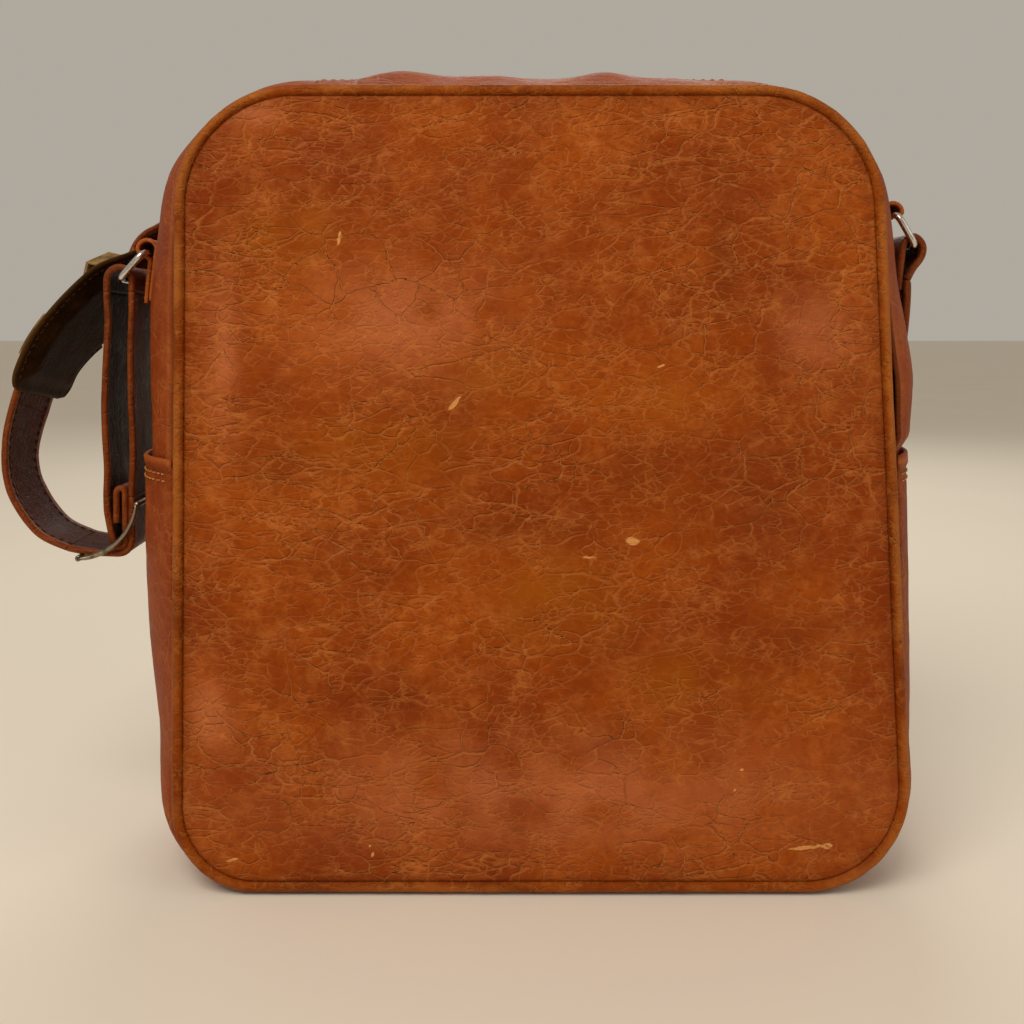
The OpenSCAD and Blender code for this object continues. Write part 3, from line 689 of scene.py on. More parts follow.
def crease_zones(x, z, inset):
    """Shares of falling, rising and level creases at each place of a panel."""
    falling = smooth(0.55 - x / 260 + (z - 150) / 300 + 0.5 * noise(x / 60, z / 60, 31))
    rising = smooth(0.5 + (x * (z - 150)) / 9000 + 0.5 * noise(x / 55, z / 55, 37))
    sideways = smooth(1.1 - inset / 42 + 0.5 * noise(x / 40, z / 40, 41))
    return {"falling": falling, "rising": rising, "sideways": sideways}


def panel_relief(x, z, inset, zones):
    """How far the stuffed leather of a panel stands out, in millimetres."""
    calm = smooth(inset / 12)
    pillow = 3.2 * smooth(inset / 55)
    folds = soft_folds(x, z) + 2.4 * spots(x, z, SWELLS)
    ripple = 0.10 * rough_noise(x, z * 1.4, 7, 51, 2)
    turned = (0.79 * x - 0.61 * z, (0.61 * x + 0.79 * z) * 2.2)
    risen = (0.74 * x + 0.67 * z, (0.67 * x - 0.74 * z) * 2.2)
    dents = (0.30 * creases(*turned, 24, 5) * zones["falling"]
             + 0.30 * creases(*risen, 26, 15) * zones["rising"]
             + 0.18 * creases(x * 0.7, z * 1.9, 17, 25) * zones["sideways"])
    return pillow + (folds - dents + ripple) * calm


def panel_piece(name, side, node, look):
    """A pillowed panel inside its piping, side -1 at the back and 1 at the front."""
    fullness = 1 if side < 0 else 0.3
    thick = 1.2
    x, z, inset, centre = panel_grid()
    zones = crease_zones(x, z, inset)
    roll = 1 - np.clip(inset / EDGE_ROLL, 0, 1)
    edge = EDGE_ROLL * (1 - np.sqrt(np.clip(1 - roll**2, 0, 1)))
    y = side * (PANEL_Y - 0.3 + fullness * panel_relief(x, z, inset, zones) - edge)
    skins = [np.stack([x, depth, z], axis=-1) for depth in (y, y - side * thick)]
    n, m = x.shape
    count = n * m
    faces = two_skins(n, m)
    for k in range(2):
        last = k * count + (n - 1) * m
        faces += [(last + j, last + (j + 1) % m, 2 * count + k) for j in range(m)]
    middle = [[centre[0], skin[-1, :, 1].mean(), centre[1]] for skin in skins]
    points = np.concatenate([*[skin.reshape(-1, 3) for skin in skins], middle])
    blotch = 0.5 * noise(x / 11, z / 11, 57) + 0.75
    # amber is the leather's tone; the dark patches are mostly painted shade; the pale patches are
    # painted highlights.
    marks = {**zones, "amber": spots(x, z, AMBER) * blotch, "shade_and_dark_tone": spots(x, z, SHADE_AND_DARK_TONE) * blotch,
             # Painted shade: darkens the rim of the panel, in the groove beside its piping.
             "painted_shade": np.clip(1 - inset / 0.9, 0, 1) + 0.25 * (1 - smooth(inset / 8)),
             "painted_sheen": spots(x, z, PAINTED_SHEEN) * smooth(blotch)}
    marks = {key: np.concatenate([np.ravel(v), np.ravel(v), np.ravel(v)[-2:]])
             for key, v in marks.items()}
    piece = make_piece(name, points, faces, [look], "bag", "panel_leather", marks=marks)
    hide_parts(node)


PIPING_FLAT = 2.5 / PIPING_R    # the seam squeezes the piping to this share of its height
PIPING_IN = 2.55                # and its middle line lies this far inside the outline


def piping_piece(name, side, node):
    """The covered cord round a panel, a little uneven, worn pale along its crest and darkened by
    painted shade on the side turned in toward the panel.
    """
    path = at(whole_outline(56, 104), -PIPING_IN)
    path = np.stack([path[:, 0], np.full(len(path), side * SEAM_Y), path[:, 1]], axis=1)
    along = np.arange(len(path)) * 1.25
    section = circle_section(1.0, 20)
    round_way = np.arctan2(section[:, 1], section[:, 0])
    rough = 0.10 * rough_noise(along[:, None], round_way[None, :] * 3, 5, 61, 3)
    slow = 0.12 * noise(along / 46, along * 0, 63)[:, None]
    radius = (PIPING_R + 0.05 + rough + slow)[..., None]
    rows = loop_rows(path, (0, 1, 0), section[None] * (1, PIPING_FLAT) * radius)
    out = unit(rows - path[:, None, :])
    away = unit((path - (0, 0, MIDDLE_Z)) * (1, 0, 1))[:, None, :]
    facing = np.sum(out * (0.45 * away + 0.9 * np.array([0, side, 0])), axis=-1)
    patchy = smooth(0.45 + 0.6 * rough_noise(along, along * 0, 14, 67))[:, None]
    corner_wear = 0.9 * hill(path[:, 0], 128, 30) * hill(path[:, 2], 14, 20)
    worn = 0.55 * smooth((facing - 0.55) / 0.5) * np.maximum(patchy, corner_wear[:, None])
    # Painted shade on the side of the piping turned in toward the panel, in the groove.
    painted_shade = smooth((np.sum(out * (-away), axis=-1) - 0.8) / 0.2)
    piece = sweep(name, rows, ["piping"], "bag", "piping_leather", closed=True,
                  marks={"worn": worn, "painted_shade": painted_shade})
    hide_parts(node)


# ---------- gussets and pockets ----------
def across(y0, y1, spacing=2.4):
    """Distances across the gusset, from y1 down to y0."""
    steps = max(2, int(abs(y1 - y0) / spacing))
    return np.linspace(y1, y0, steps + 1)


def seam_lip(ys):
    """The small ridge of leather beside each row of piping."""
    return 0.55 * hill(np.abs(ys), GUSSET_Y - 2.2, 1.3)[None, :]


def seam_shade(ys):
    """Painted shade in the groove beside each row of piping: how dark it makes the leather."""
    return 0.8 * smooth((np.abs(ys) - GUSSET_Y + 0.6) / 1.2)


def leather_relief(grid, seed, depth=0.35):
    """Small uneven lift of a leather surface, by place along and across it."""
    run = lengths_along(grid[:, grid.shape[1] // 2])
    a, b = np.meshgrid(run, grid[0, :, 1], indexing="ij")
    return depth * rough_noise(a, b, 34, seed, 3) - 0.16 * creases(a, b * 1.6, 20, seed + 3)


def drawn_in(z):
    """How far the left side is drawn in low down."""
    return 2.6 * hill(z, 82, 34)


def swollen(z):
    """How far the right side swells out above its pocket."""
    return 4.4 * smooth((z - POCKET_TOP - 1) / 9) * (1 - smooth((z - 198) / 50))


def gusset_piece(name, side, node):
    """One side of the bag, from the zip's end down to the base, side -1 at the left."""
    if side < 0:
        stations = [edge_station(2, 0.98), *arc_stations(3, 34), *edge_stations(3, 0.01, 0.99, 96),
                    *arc_stations(0, 26)]
    else:
        stations = [*arc_stations(1, 30), *edge_stations(1, 0.01, 0.99, 96), *arc_stations(2, 36),
                    edge_station(2, 0.02)]
    ys = across(-GUSSET_Y - 0.6, GUSSET_Y + 0.6)
    plain = gusset_points(stations, ys, 0.0, dented=True)
    lip = seam_lip(ys)
    rows = np.arange(len(stations))[:, None]
    calm_ends = smooth(rows / 8) * smooth((len(stations) - 1 - rows) / 8)
    outline = at(stations, 0)
    x, z = outline[:, :1], outline[:, 1:]
    lift = leather_relief(plain, 71 + side) * calm_ends + lip
    lift = lift + hump_lift(x, ys[None, :]) * smooth((z - 285) / 30)
    lift = lift + (swollen(z) if side > 0 else -drawn_in(z)) * (1 - lip)
    outer = gusset_points(stations, ys, lift, dented=True)
    inner = gusset_points(stations, ys, lift - LEATHER_T, dented=True)
    worn = 0.35 * hill(np.abs(ys), GUSSET_Y - 2.2, 1.1)
    # Painted shade in the groove beside each row of piping.
    piece = sheet_piece(name, outer, inner, "gusset", "bag", "gusset_leather",
                        marks={"painted_shade": seam_shade(ys), "worn": worn})
    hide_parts(node)


def line_across(grid, levels, wanted):
    """The line across a grid of points where the level of its rows reaches the wanted value."""
    order = np.argsort(levels)
    return np.array([[np.interp(wanted, levels[order], grid[order, j, k]) for k in range(3)]
                     for j in range(grid.shape[1])])


def pocket_piece(name, side, node):
    """A slip pocket with a turned hem held by two rows of stitches."""
    rows_down = (5.6, 8.4)
    turned_in = 4.1
    if side < 0:
        mouth = side_share(3, POCKET_TOP)
        stations = edge_stations(3, mouth, 0.99, 60) + arc_stations(0, 28)[1:22]
    else:
        mouth = side_share(1, POCKET_TOP)
        stations = arc_stations(1, 28)[7:] + edge_stations(1, 0.01, mouth, 60)
    ys = across(-GUSSET_Y - 0.5, GUSSET_Y + 0.5)
    z = at(stations, 0)[:, 1:]
    below = POCKET_TOP - z
    hem = 0.9 * (1 - smooth((below - 3.0) / 0.8)) - 0.25 * hill(below, turned_in, 0.5)
    seam = -0.18 * sum(hill(below, down, 0.5) for down in rows_down)
    plain = gusset_points(stations, ys, 1.8)
    lift = 1.8 + hem + seam + leather_relief(plain, 81 + side, 0.3)
    lift = lift + (1.6 * smooth((z - 110) / 55) if side > 0 else -drawn_in(z))
    outer = gusset_points(stations, ys, lift)
    inner = gusset_points(stations, ys, lift - POCKET_T - np.maximum(hem, 0) * 0.4)
    # Painted shade: a dark line under the turned hem.
    piece = sheet_piece(name, outer, inner, "gusset", "bag", "gusset_leather", edge=0.6,
                        marks={"worn": 0.6 * hill(below, 0.3, 1.0),
                               "painted_shade": 0.5 * hill(below, turned_in, 0.5)})
    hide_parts(node)
    for row, down in enumerate(rows_down):
        line = line_across(outer, below[:, 0], down)[1:-1] + (0.12 * side, 0, 0)
        stitch_row(f"{name}_stitching_{row + 1}", line, (side, 0, 0), "bag", "gusset_leather")


def base_piece():
    """The base, turned up a little along its long edges."""
    xs = np.linspace(-112.8, 104.8, 90)
    ys = np.linspace(-GUSSET_Y, GUSSET_Y, 44)
    y, x = np.meshgrid(ys, xs)
    rise = 2 * smooth((np.abs(y) - GUSSET_Y + 4) / 4) + 0.12 * np.abs(rough_noise(x, y, 12, 91))
    outer = np.stack([x, y, rise], axis=-1)
    piece = sheet_piece("base_panel_leather", outer, outer + (0, 0, LEATHER_T), "gusset", "bag",
                        "gusset_leather")
    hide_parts("base_panel")


# ---------- top with zip ----------
ZIP_HALF = 9
TAPE_HALF = 14
TAPE_T = 0.8
TOOTH_PITCH = 3
ZIP_GAP = 0.3
ZIP_Z = TOP_Z + CROWN - LEATHER_T - 0.2 - 0.4
ZIP_LEFT = mix(CORNERS[2][0], CORNERS[3][0], 0.98)
ZIP_RIGHT = mix(CORNERS[2][0], CORNERS[3][0], 0.02)
MOUTH = (ZIP_LEFT + 20, ZIP_RIGHT - 20)
# Soft humps of the top leather along the back seam: x, height and half width.
HUMPS = [(-56, 4.3, 17), (-20, 2.4, 17), (28, 3.8, 13), (56, 1.2, 18)]
HUMP_Y = 33


def hump_lift(x, y):
    """Extra height of the puckered top leather, strongest between the seam and the zip."""
    slack = 1.6 + 2.6 * smooth((np.abs(x + 5) - 60) / 26)
    height = sum(h * hill(x, middle, width) for middle, h, width in HUMPS) - slack
    back, front = [hill(y, side * HUMP_Y, 11) * smooth((side * y - ZIP_HALF) / 9)
                   for side in (-1, 1)]
    return height * (back + 0.7 * front)


def attach(piece, body):
    """Lets a piece ride on the bag; a piece for any other body only has its place baked into its
    points.
    """
    if body == "bag":
        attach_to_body(piece, "bag")
        return
    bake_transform(piece)


def top_leather(name, x0, x1, side, node, body):
    """One side of the top, from the piping to the turned edge beside the zip."""
    steps = max(6, int((x1 - x0) / 2))
    seam_y = ZIP_HALF + 3.6
    stations = edge_stations(2, top_share(x1), top_share(x0), steps)
    ys = across(*sorted((side * ZIP_HALF, side * (GUSSET_Y + 0.5))), 1.8)
    x = at(stations, 0)[:, :1]
    turned_edge = 0.5 * hill(np.abs(ys), ZIP_HALF + 1.2, 1.4)[None, :]
    seam = -0.35 * hill(np.abs(ys), seam_y, 0.7)[None, :]
    ripple = 0.12 * rough_noise(x, ys[None, :], 9, 97)
    lift = seam_lip(ys) + turned_edge + seam + ripple + hump_lift(x, ys[None, :])
    outer = gusset_points(stations, ys, lift)
    inner = gusset_points(stations, ys, lift - 1.8)
    # Painted shade in the groove beside the piping.
    piece = sheet_piece(name, outer, inner, "gusset", None, "gusset_leather",
                        marks={"painted_shade": seam_shade(ys)})
    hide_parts(node)
    row = gusset_points(stations, [side * seam_y] * 2, 0.25)[:, 0]
    thread = stitch_row(name + "_stitching", row, (0, 0, 1), None, "gusset_leather")
    for made in (piece, thread):
        attach(made, body)


def upright(points):
    """From the zip's own frame, outside up, to the top of the bag."""
    return points + (0, 0, ZIP_Z)


def tape_strip(name, x0, x1, side, half, node, body, place):
    """Half of a zip's tape, from beside the teeth outward."""
    xs = np.linspace(x0, x1, max(4, int((x1 - x0) / 2)))
    y, x = np.meshgrid(np.linspace(side * 2.9, side * half, 12), xs)
    top = np.stack([x, y, 0.08 * noise(x / 6, y / 3, 13)], axis=-1)
    piece = sheet_piece(name, place(top), place(top - (0, 0, TAPE_T)), "tape", None, "zip_tape",
                        edge=0.15)
    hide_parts(node)
    attach(piece, body)


# A tooth from its foot on the tape to its nose: how far out, half length, top and bottom.
TOOTH = ((3.3, 0.75, 0.3, -0.7), (2.9, 0.8, 0.8, -1.2), (1.2, 0.6, 0.8, -1.2),
         (0.4, 0.45, 0.7, -1.1), (-0.5, 0.62, 0.7, -1.1), (-0.95, 0.4, 0.4, -0.8))
TOOTH_SIDES = 8


def tooth_rings(x, side):
    a = np.radians(np.linspace(0, 360, TOOTH_SIDES, endpoint=False) + 180 / TOOTH_SIDES)
    boxy = np.clip(np.stack([np.cos(a), np.sin(a)]) * 1.08, -1, 1)
    return np.array([np.stack([x + half_length * boxy[0], np.full(TOOTH_SIDES, side * y),
                               (top + low) / 2 + (top - low) / 2 * boxy[1]], axis=1)
                     for y, half_length, top, low in TOOTH])


def teeth_row(name, x0, x1, side, node, body, place):
    """Interlocking teeth of one side; the other side's stand half a pitch along."""
    quarter = TOOTH_PITCH / 4
    places = np.arange(x0 + 1.6 + quarter, x1 - 1.2, TOOTH_PITCH) + quarter * side
    points, faces = join_tubes([tooth_rings(x, side) for x in places])
    piece = make_piece(name, place(points), faces, ["brass"], None, "zip_metal")
    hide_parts(node)
    attach(piece, body)


def zip_top():
    """Leather, tape and teeth of both sides: the part that opens and the two fixed ends."""
    ends = (("left", ZIP_LEFT, MOUTH[0] - ZIP_GAP), ("right", MOUTH[1] + ZIP_GAP, ZIP_RIGHT))
    for label, side in (("back", -1), ("front", 1)):
        body = "mouth_" + label
        top_leather(f"top_band_{label}_leather", *MOUTH, side, f"top_band_{label}", body)
        tape_strip(f"zip_tape_{label}_cloth", *MOUTH, side, TAPE_HALF, f"zip_tape_{label}", body,
                   upright)
        teeth_row(f"zip_teeth_{label}_row", *MOUTH, side, f"zip_teeth_{label}", body, upright)
        for end, x0, x1 in ends:
            top_leather(f"top_end_{end}_{label}_leather", x0, x1, side, f"top_end_{end}", "bag")
            tape_strip(f"zip_tape_end_{end}_{label}", x0 + 1, x1 - 0.2, side, TAPE_HALF,
                       "zip_tape_ends", "bag", upright)
            teeth_row(f"zip_teeth_end_{end}_{label}", x0, x1, side, "zip_teeth_ends", "bag", upright)


# ---------- front pocket ----------
FRONT_Z0 = 38
FRONT_W = 218
FRONT_H = 190
FRONT_D = 9
FRONT_R = 24
FRONT_CENTRE = (0, FRONT_Z0 + FRONT_H / 2)
FRONT_ZIP_Z = 204
FRONT_ZIP_Y = 62
FRONT_ZIP_HALF = 92
FRONT_FACE = PANEL_Y + FRONT_D


def facing_front(points):
    """From the zip's own frame, outside up, to the face of the front pocket."""
    p = np.asarray(points, float)
    return np.stack([p[..., 0], p[..., 2] + FRONT_ZIP_Y, FRONT_ZIP_Z - p[..., 1]], axis=-1)


def rounded_rectangle(half_w, half_h, r, spacing, per_corner=18):
    """Points once round a rectangle with rounded corners, evenly spaced."""
    points = []
    for quarter, (sx, sy) in enumerate(((1, 1), (-1, 1), (-1, -1), (1, -1))):
        for a in np.radians(np.linspace(90 * quarter, 90 * quarter + 90, per_corner)):
            points.append((sx * (half_w - r) + r * np.cos(a), sy * (half_h - r) + r * np.sin(a)))
    return resample(np.array(points + points[:1]), spacing)[:-1]


def pocket_outline(inset, spacing):
    """Points [x, z] round the front pocket, this far inside its outline."""
    return rounded_rectangle(FRONT_W / 2 - inset, FRONT_H / 2 - inset, FRONT_R - inset,
                             spacing) + FRONT_CENTRE


# The pocket is a nest of rings: shares of its outline and heights over the panel, at its edge.
POCKET_SHARES = (1, 1, 1, 0.996, 0.99, 0.982, 0.972, 0.96, 0.945)
POCKET_HEIGHTS = (0.2, 3.5, 6.6, 8.1, 8.8, 9.1)
POCKET_COLUMNS = 380
WALL_RINGS = 3          # the rings that make up its upright wall
INNER_WALL = 5          # the ring whose place the inside of that wall takes


def front_pocket_rings():
    """Places x and z of the pocket's rings of points, and its outside height in Y."""
    outline = pocket_outline(0, 0.5)
    outline = outline[np.linspace(0, len(outline) - 1, POCKET_COLUMNS).astype(int)]
    shares = np.array([*POCKET_SHARES, *np.linspace(0.93, 0.02, 50)])[:, None]
    grid = FRONT_CENTRE + (outline - FRONT_CENTRE) * shares[..., None]
    x, z = grid[..., 0], grid[..., 1]
    inset = (1 - shares) * 100
    heights = np.array([*POCKET_HEIGHTS, *[POCKET_HEIGHTS[-1]] * (len(shares) - len(POCKET_HEIGHTS))])
    swell = 2.6 * smooth(inset / 45)
    bumps = 0.6 * soft_folds(x + 300, z) - 0.25 * creases(x * 1.5, z, 22, 45)
    relief = (swell + bumps) * (1 - hill(z, FRONT_ZIP_Z, 14)) * smooth(inset / 9)
    seam = 0.25 * hill(inset, 4.0, 0.8)
    return x, z, PANEL_Y + heights[:, None] + relief - seam


def front_pocket_piece():
    """The raised front pocket with its slot and its stitches."""
    x, z, y = front_pocket_rings()
    skins = [np.stack([x, depth, z], axis=-1)
             for depth in (y, np.maximum(y - LEATHER_T, PANEL_Y + 0.2))]
    skins[1][:WALL_RINGS, :, ::2] = skins[1][INNER_WALL, :, ::2]
    n, m = y.shape
    faces = two_skins(n, m)
    for k in range(2):
        last = k * n * m + (n - 1) * m
        faces.append(tuple(range(last, last + m)))
    piece = make_piece("front_pocket_leather", np.concatenate(skins), faces, ["front"], "bag",
                       "panel_leather")
    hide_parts("front_pocket_panel")
    cut_slot(piece)
    x, z = pocket_outline(4.5, 2.0).T
    line = np.stack([x, np.full(len(x), FRONT_FACE + 0.35), z], axis=1)
    stitch_row("front_pocket_stitching", np.concatenate([line, line[:1]]), (0, 1, 0), "bag",
               "panel_leather")
    for row, z in enumerate((FRONT_ZIP_Z - 8, FRONT_ZIP_Z + 8)):
        ends = np.array([[x, FRONT_FACE + 0.3, z] for x in (-FRONT_ZIP_HALF, FRONT_ZIP_HALF)])
        stitch_row(f"front_zip_stitching_{row + 1}", resample(ends, 4), (0, 1, 0), "bag",
                   "panel_leather")


def cut_slot(piece):
    """Cuts the zip's slot through the front pocket."""
    bpy.ops.mesh.primitive_cube_add(size=1)
    cutter = bpy.context.object
    cutter.scale = (2 * FRONT_ZIP_HALF * MM, 0.03, 0.01)
    cutter.location = (0, FRONT_FACE * MM, FRONT_ZIP_Z * MM)
    slot = piece.modifiers.new("slot", "BOOLEAN")
    slot.operation = "DIFFERENCE"
    slot.object = cutter
    bpy.context.view_layer.update()
    done = bpy.data.meshes.new_from_object(piece.evaluated_get(bpy.context.evaluated_depsgraph_get()))
    piece.modifiers.remove(slot)
    piece.data = done
    bpy.data.objects.remove(cutter)


def front_zip():
    for label, side in (("upper", -1), ("lower", 1)):
        tape_strip(f"front_zip_tape_{label}", -98, 98, side, 9, "front_pocket_tape", "bag",
                   facing_front)
        teeth_row(f"front_zip_teeth_{label}", -FRONT_ZIP_HALF, FRONT_ZIP_HALF, side,
                  "front_pocket_teeth", "bag", facing_front)


# ---------- rings and tabs ----------
# Each ring's upper bar, x and z, and the direction in which the ring hangs from it.
RINGS = {"left": ((-166.9, 257), (-0.667, -0.745)), "right": ((155, 273), (0.5, -0.866))}
RING_PITCH = 15.5
RING_HALF = 20.5
RING_BEND = 3.2
RING_WIRE = 1.5


def ring_piece(label):
    """A rectangular wire ring with bent corners."""
    (x, z), (lx, lz) = RINGS[label]
    y, up = rounded_rectangle(RING_HALF, RING_PITCH / 2, RING_BEND, 1.2, 9).T
    down = RING_PITCH / 2 - up
    path = np.stack([x + down * lx, y, z + down * lz], axis=1)
    rows = loop_rows(path, (-lz, 0, lx), circle_section(RING_WIRE, 16))
    piece = sweep(f"ring_{label}_wire", rows, ["nickel"], f"ring_{label}", "ring_metal", closed=True)
    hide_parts(f"ring_{label}")


STRIP_COLUMNS = 9       # points across each face of a strip
STRIP_TURNS = 7         # points round each of its edges


def strip_section(half, thick, bead=0.0):
    """Across and rise round a strip with rounded edges: face, edge, back, edge."""
    r = thick / 2 + bead
    flat = np.linspace(-(half - 2.2 * r), half - 2.2 * r, STRIP_COLUMNS)
    turn = np.radians(np.linspace(72, -72, STRIP_TURNS))
    right = [(half - r + r * math.cos(a), r * math.sin(a)) for a in turn]
    return np.array([*[(a, thick / 2) for a in flat], *right,
                     *[(a, -thick / 2) for a in flat[::-1]], *[(-a, -rise) for a, rise in right]])


def strip_looks(face, back):
    """Material index of each column of faces round such a strip; its edges have the first."""
    edge = [0] * (STRIP_TURNS + 1)
    return [face] * (STRIP_COLUMNS - 1) + edge + [back] * (STRIP_COLUMNS - 1) + edge


# Each tab's panel edge, its lowest and highest place and how far its front stands out.
TABS = {"left": (3, 235, 254, 2.9), "right": (1, 254, 269, 2.3)}
TAB_HALF = 16
TAB_T = 1.7


def tab_piece(label):
    """A leather tab folded over the ring's upper bar and sewn to the gusset."""
    (x, z), _ = RINGS[label]
    edge, low, high, front_lift = TABS[label]
    side = -1 if label == "left" else 1
    back_lift, wrap_r = 0.95, 4.2

    def rise(z0, z1, lift):
        stations = [edge_station(edge, side_share(edge, h)) for h in np.linspace(z0, z1, 9)]
        return gusset_points(stations, [0.0], lift)[:, 0]

    start, end = (math.pi + 0.2, -0.5) if side < 0 else (-0.2, math.pi + 0.5)
    wrap = [(x + 0.5 * side + wrap_r * math.cos(a), 0, z + 1.5 + wrap_r * math.sin(a))
            for a in np.linspace(start, end, 14)]
    path = np.concatenate([rise(low, high, front_lift), wrap, rise(high, low + 1, back_lift)])
    path = softened(resample(path, 1.2))
    rows = section_rows(path, (0, side, 0), strip_section(TAB_HALF, TAB_T, 0.1))
    outward = np.abs(rows[..., 1])
    rows[..., 0] -= side * 0.55 * (outward / TAB_HALF) ** 3
    piece = sweep(f"tab_{label}_leather", rows, ["gusset"], "bag", "gusset_leather",
                  marks={"worn": 0.5 * hill(outward, TAB_HALF, 0.9)})
    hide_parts(f"tab_{label}")
    foot = rise(low + 2.5, low + 3.2, front_lift + 0.95)[0]
    line = np.array([[foot[0], y, foot[2]] for y in np.linspace(-13.5, 13.5, 12)])
    stitch_row(f"tab_{label}_stitching", line, (side, 0, 0), "bag", "gusset_leather", pitch=3.2,
               length=2.2)


# ---------- strap ----------
# The strap's route from the buckle to the right ring: places and width directions.
STRAP_POINTS = [
    ((-200.2, 0, 130.2), (0, 1, 0)), ((-213.5, 0, 137), (0, 1, 0)), ((-224.5, 0, 153), (0, 1, 0)),
    ((-228.5, 3, 170), (0, 1, -0.12)), ((-226, 7.5, 189), (0.05, 1, -0.15)),
    ((-218, 12, 213.5), (0.05, 1, -0.2)), ((-203.5, 25.5, 234.5), (0.1, 1, -0.23)),
    ((-190, 43.5, 246), (0.12, 1, -0.17)), ((-181.5, 54, 260.5), (0.2, 1, -0.45)),
    ((-166, 64.5, 263.5), (0.1, 0.7, -0.97)), ((-144.5, 73, 247), (-0.4, 0.2, -1.03)),
    ((-120, 80, 218), (-0.75, 0, -0.6)), ((-85, 78, 168), (-0.75, 0, -0.65)),
    ((-35, 76, 128), (-0.35, 0, -0.95)), ((25, 76, 114), (0, 0, -1)),
    ((85, 78, 128), (0.3, 0, -0.95)), ((128, 80, 158), (0.6, 0, -0.8)),
    ((152, 72, 182), (0.4, -0.35, -0.8)), ((164, 48, 200), (0, -0.6, -0.8)),
    ((161.5, 18, 216), (0, -0.8, -0.6)), ((159.6, 0, 231), (0, -1, 0)),
    ((160, 0, 238), (0, -1, 0)), ((160, 0, 245), (0, -1, 0)),
]
CAD_STEPS = 4           # the CAD's points per control point
FINE = 5                # finer points here for each of those
STRAP_BEAD = 0.35


def strap_route():
    """The whole strap's path and width directions, at the finer spacing."""
    path = spline([p for p, _ in STRAP_POINTS], CAD_STEPS * FINE)
    ways = np.array([w for _, w in STRAP_POINTS], float)
    places = np.linspace(0, len(ways) - 1, len(path))
    return path, np.stack([np.interp(places, np.arange(len(ways)), way) for way in ways.T], axis=1)


PATH, ACROSS = strap_route()
WIDTH_WAY, FACE_WAY = path_frames(PATH, ACROSS)
RUN_FIRST, RUN_LAST = 16 * FINE, 30 * FINE
PAD_FIRST, PAD_LAST = 17 * FINE, 28 * FINE


def strap_skin(name, rows, node, body, flip, seed):
    """A strap piece with rolled edges. flip puts the dark lining on the face side."""
    n, m = rows.shape[:2]
    run = np.arange(n)[:, None] * 1.3 + seed * 31
    round_way = np.arange(m)[None, :]
    out = unit(rows - rows.mean(axis=1, keepdims=True))
    rows = rows + out * (0.07 * rough_noise(run, round_way * 1.5, 7, 101 + seed))[..., None]
    on_edge = round_way % (STRIP_COLUMNS + STRIP_TURNS) >= STRIP_COLUMNS
    worn = 0.3 * on_edge * smooth(0.6 + 0.7 * noise(run / 8, round_way, 103))
    piece = sweep(name, rows, ["strap", "lined"], body, "strap_leather",
                  column_material=strip_looks(1, 0) if flip else strip_looks(0, 1),
                  marks={"worn": worn})
    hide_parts(node)
    return piece


def strap_part(name, first, last, node):
    """Part of the strap's long route, with a row of stitches near each edge of both faces."""
    part = slice(first, last + 1)
    rows = section_rows(PATH, ACROSS, strip_section(STRAP_W / 2, STRAP_T, STRAP_BEAD))[part]
    made = [strap_skin(name, rows, node, "bag", False, first)]
    for k, side in enumerate((-1, 1)):
        for label, way in (("outer", 1), ("inner", -1)):
            line = (PATH + WIDTH_WAY * side * (STRAP_W / 2 - 4.6)
                    + FACE_WAY * way * (STRAP_T / 2 + 0.02))
            made.append(stitch_row(f"{name}_stitching_{label}_{k + 1}", line[part],
                                   way * FACE_WAY[part], "bag", "strap_leather", pitch=4.2,
                                   radius=0.26, thread="dim_thread"))
    return made


def flat_rows(points, spacing=1.3, way=1):
    """Strap rows along a path in the XZ plane."""
    path = softened(resample(np.array([(x, 0, z) for x, z in points], float), spacing))
    return section_rows(path, (0, way, 0), strip_section(STRAP_W / 2, STRAP_T, STRAP_BEAD))


ARCH_R = 5.4
ARCH_C = (-178.2, 245.4)
INNER_X = ARCH_C[0] + ARCH_R
OUTER_X = ARCH_C[0] - ARCH_R
RUN_TOP = 240
RUN_LOW = 152
WRAP_C = (-178.1, 133)
WRAP_R = INNER_X - WRAP_C[0]


def wavy(rows, amount, seed):
    """Lets a hanging run bend gently in and out."""
    z = rows[..., 2]
    free = smooth((RUN_TOP - z) / 20) * smooth((z - RUN_LOW) / 20)
    sway = np.sin((z - RUN_LOW) / (RUN_TOP - RUN_LOW) * 2 * math.pi + seed)
    rows[..., 0] += amount * free * (sway + 0.5 * noise(z / 22, z * 0, seed))
    return rows


